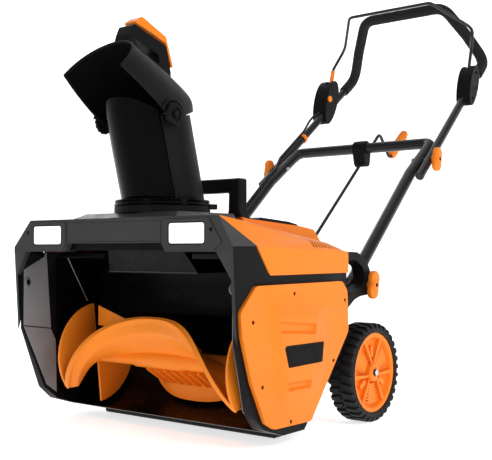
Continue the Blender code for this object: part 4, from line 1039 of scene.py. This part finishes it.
def make_crank_grip():
    length = math.dist(CRANK_FOOT, CRANK_TOP)
    start, end = along_crank(length + 0.010, 0.080), along_crank(length + 0.116, 0.080)
    axis = (spot(0, end) - spot(0, start)).normalized()
    reach = 0.106
    profile = [(0.0045, 0.0), (0.0080, 0.0), (0.0098, 0.0020)]
    rings = 11
    for i in range(rings):
        base = 0.006 + i * (reach - 0.016) / rings
        swell = 0.0118 + 0.0010 * math.sin(math.pi * i / (rings - 1))
        profile += [(swell - 0.0014, base), (swell, base + 0.0022), (swell, base + 0.0056),
                    (swell - 0.0014, base + 0.0076)]
    profile += [(0.0105, reach - 0.006), (0.0080, reach - 0.001), (0.0045, reach)]
    grip = lathe("crank_handgrip_ribbed", profile, spot(0, start), axis, 32, 60)
    put(grip, "crank_handgrip", ORANGE, "orange_plastic", "crank_grip")


def make_cable():
    """One switch cable down the left leg, which bends where the handle folds."""
    along = (upper_leg(-1, 1.0) - upper_leg(-1, 0.9)).normalized()
    normal = Vector((0, -along.z, along.y)).normalized()
    path = [upper_leg(-1, d) + normal * (0.0136 + extra)
            for d, extra in ((0.9900, 0.0020), (0.9840, 0.0030), (0.9740, 0.0070),
                             (0.9620, 0.0090), (0.9480, 0.0080), (0.9340, 0.0040),
                             (0.9240, 0.0010), (0.9160, 0.0), (0.8800, 0.0), (0.8400, 0.0),
                             (0.8150, 0.0))]
    leg = (lower_leg(-1, 0.70) - lower_leg(-1, 0.60)).normalized()
    inboard = Vector((1, 0, 0))
    square = leg.cross(inboard).normalized()
    for depth, roll in ((0.765, 0), (0.735, 0), (0.680, 0), (0.620, 0), (0.580, 12),
                        (0.555, 40), (0.535, 70), (0.515, 92)):
        turn = math.radians(roll)
        path.append(lower_leg(-1, depth)
                    + (-square * math.cos(turn) + inboard * math.sin(turn)) * 0.0166)
    path += [spot(-0.182, (0.498, 0.2960)), spot(-0.176, (0.482, 0.2890)),
             spot(-0.173, (0.4675, 0.2860))]
    cable = tube("switch_cable", dense(bent(path, 0.02, 4), 0.004), 0.0030, 12)
    cable.data.materials.append(CABLE)
    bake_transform(cable)
    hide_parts("switch_cable_upper", "switch_cable_lower")


make_housing()
make_front()
make_covers()
make_hood()
make_auger()
make_wheels()
make_shells()
make_chute()
make_deflector()
make_tubes()
make_grip()
make_boxes()
make_knobs()
make_crank_grip()
make_cable()


# ---- stage, light, camera
def make_stage():
    """A pale floor that curves up behind the machine, soft lights and the camera."""
    bm = bmesh.new()
    reach = 14.0
    profile = [(-reach, 0.0), (2.6, 0.0)]
    for i in range(1, 13):
        a = math.radians(90 * i / 12)
        profile.append((2.6 + 2.0 * math.sin(a), 2.0 * (1 - math.cos(a))))
    profile.append((4.6, 9.0))
    rows = [[bm.verts.new((x, y, z)) for x in (-reach, reach)] for y, z in profile]
    for a, b in zip(rows, rows[1:]):
        bm.faces.new((a[0], a[1], b[1], b[0]))
    floor = add("floor", bm, 80)
    floor.rotation_euler = (0, 0, math.radians(38))
    paper = moulded("studio_paper", (0.92, 0.92, 0.93), 0.75, 0.01, 40, 0.02)
    floor.data.materials.append(glowing(paper, 0.70))

    world = bpy.data.worlds.new("studio")
    bpy.context.scene.world = world
    world.use_nodes = True
    tree = world.node_tree
    lit = tree.nodes["Background"]
    seen = tree.nodes.new("ShaderNodeBackground")
    for node, strength in ((lit, 0.26), (seen, 1.0)):
        node.inputs["Color"].default_value = (1, 1, 1, 1)
        node.inputs["Strength"].default_value = strength
    # the camera sees a white studio, which lights the machine only softly
    mix = tree.nodes.new("ShaderNodeMixShader")
    path = tree.nodes.new("ShaderNodeLightPath")
    tree.links.new(path.outputs["Is Camera Ray"], mix.inputs[0])
    tree.links.new(lit.outputs[0], mix.inputs[1])
    tree.links.new(seen.outputs[0], mix.inputs[2])
    tree.links.new(mix.outputs[0], tree.nodes["World Output"].inputs["Surface"])

    def area(name, place, aim, size, power, height=None):
        data = bpy.data.lights.new(name, "AREA")
        data.shape = "RECTANGLE"
        data.size, data.size_y = size, height or size
        data.energy = power
        light = bpy.data.objects.new(name, data)
        bpy.context.scene.collection.objects.link(light)
        light.location = place
        light.rotation_euler = (Vector(aim) - Vector(place)).to_track_quat("-Z", "Y").to_euler()

    area("key", (2.9, -1.2, 2.2), (0, -0.1, 0.35), 1.2, 40)
    area("front_fill", (0.3, -3.2, 0.9), (0, -0.4, 0.4), 0.5, 7, 1.6)
    area("top", (0.0, 0.2, 3.2), (0, 0, 0.3), 2.2, 12)
    area("rim", (-2.6, 1.4, 1.8), (0, 0, 0.5), 0.8, 16, 2.0)
    area("strip", (2.4, -0.2, 1.0), (0, -0.4, 0.5), 0.18, 9, 1.6)
    scene = bpy.context.scene
    scene.view_settings.view_transform = "Standard"
    scene.view_settings.look = "None"

    camera = bpy.data.cameras.new("camera")
    camera.lens, camera.sensor_width = 64.64, 36.0
    eye = bpy.data.objects.new("camera", camera)
    scene.collection.objects.link(eye)
    eye.location = (1.1295, -1.0747 + FRONT, 0.3306)
    eye.rotation_euler = (math.radians(91.315), 0.0, math.radians(37.80))
    camera.clip_end = 60.0
    scene.camera = eye


make_stage()

import json
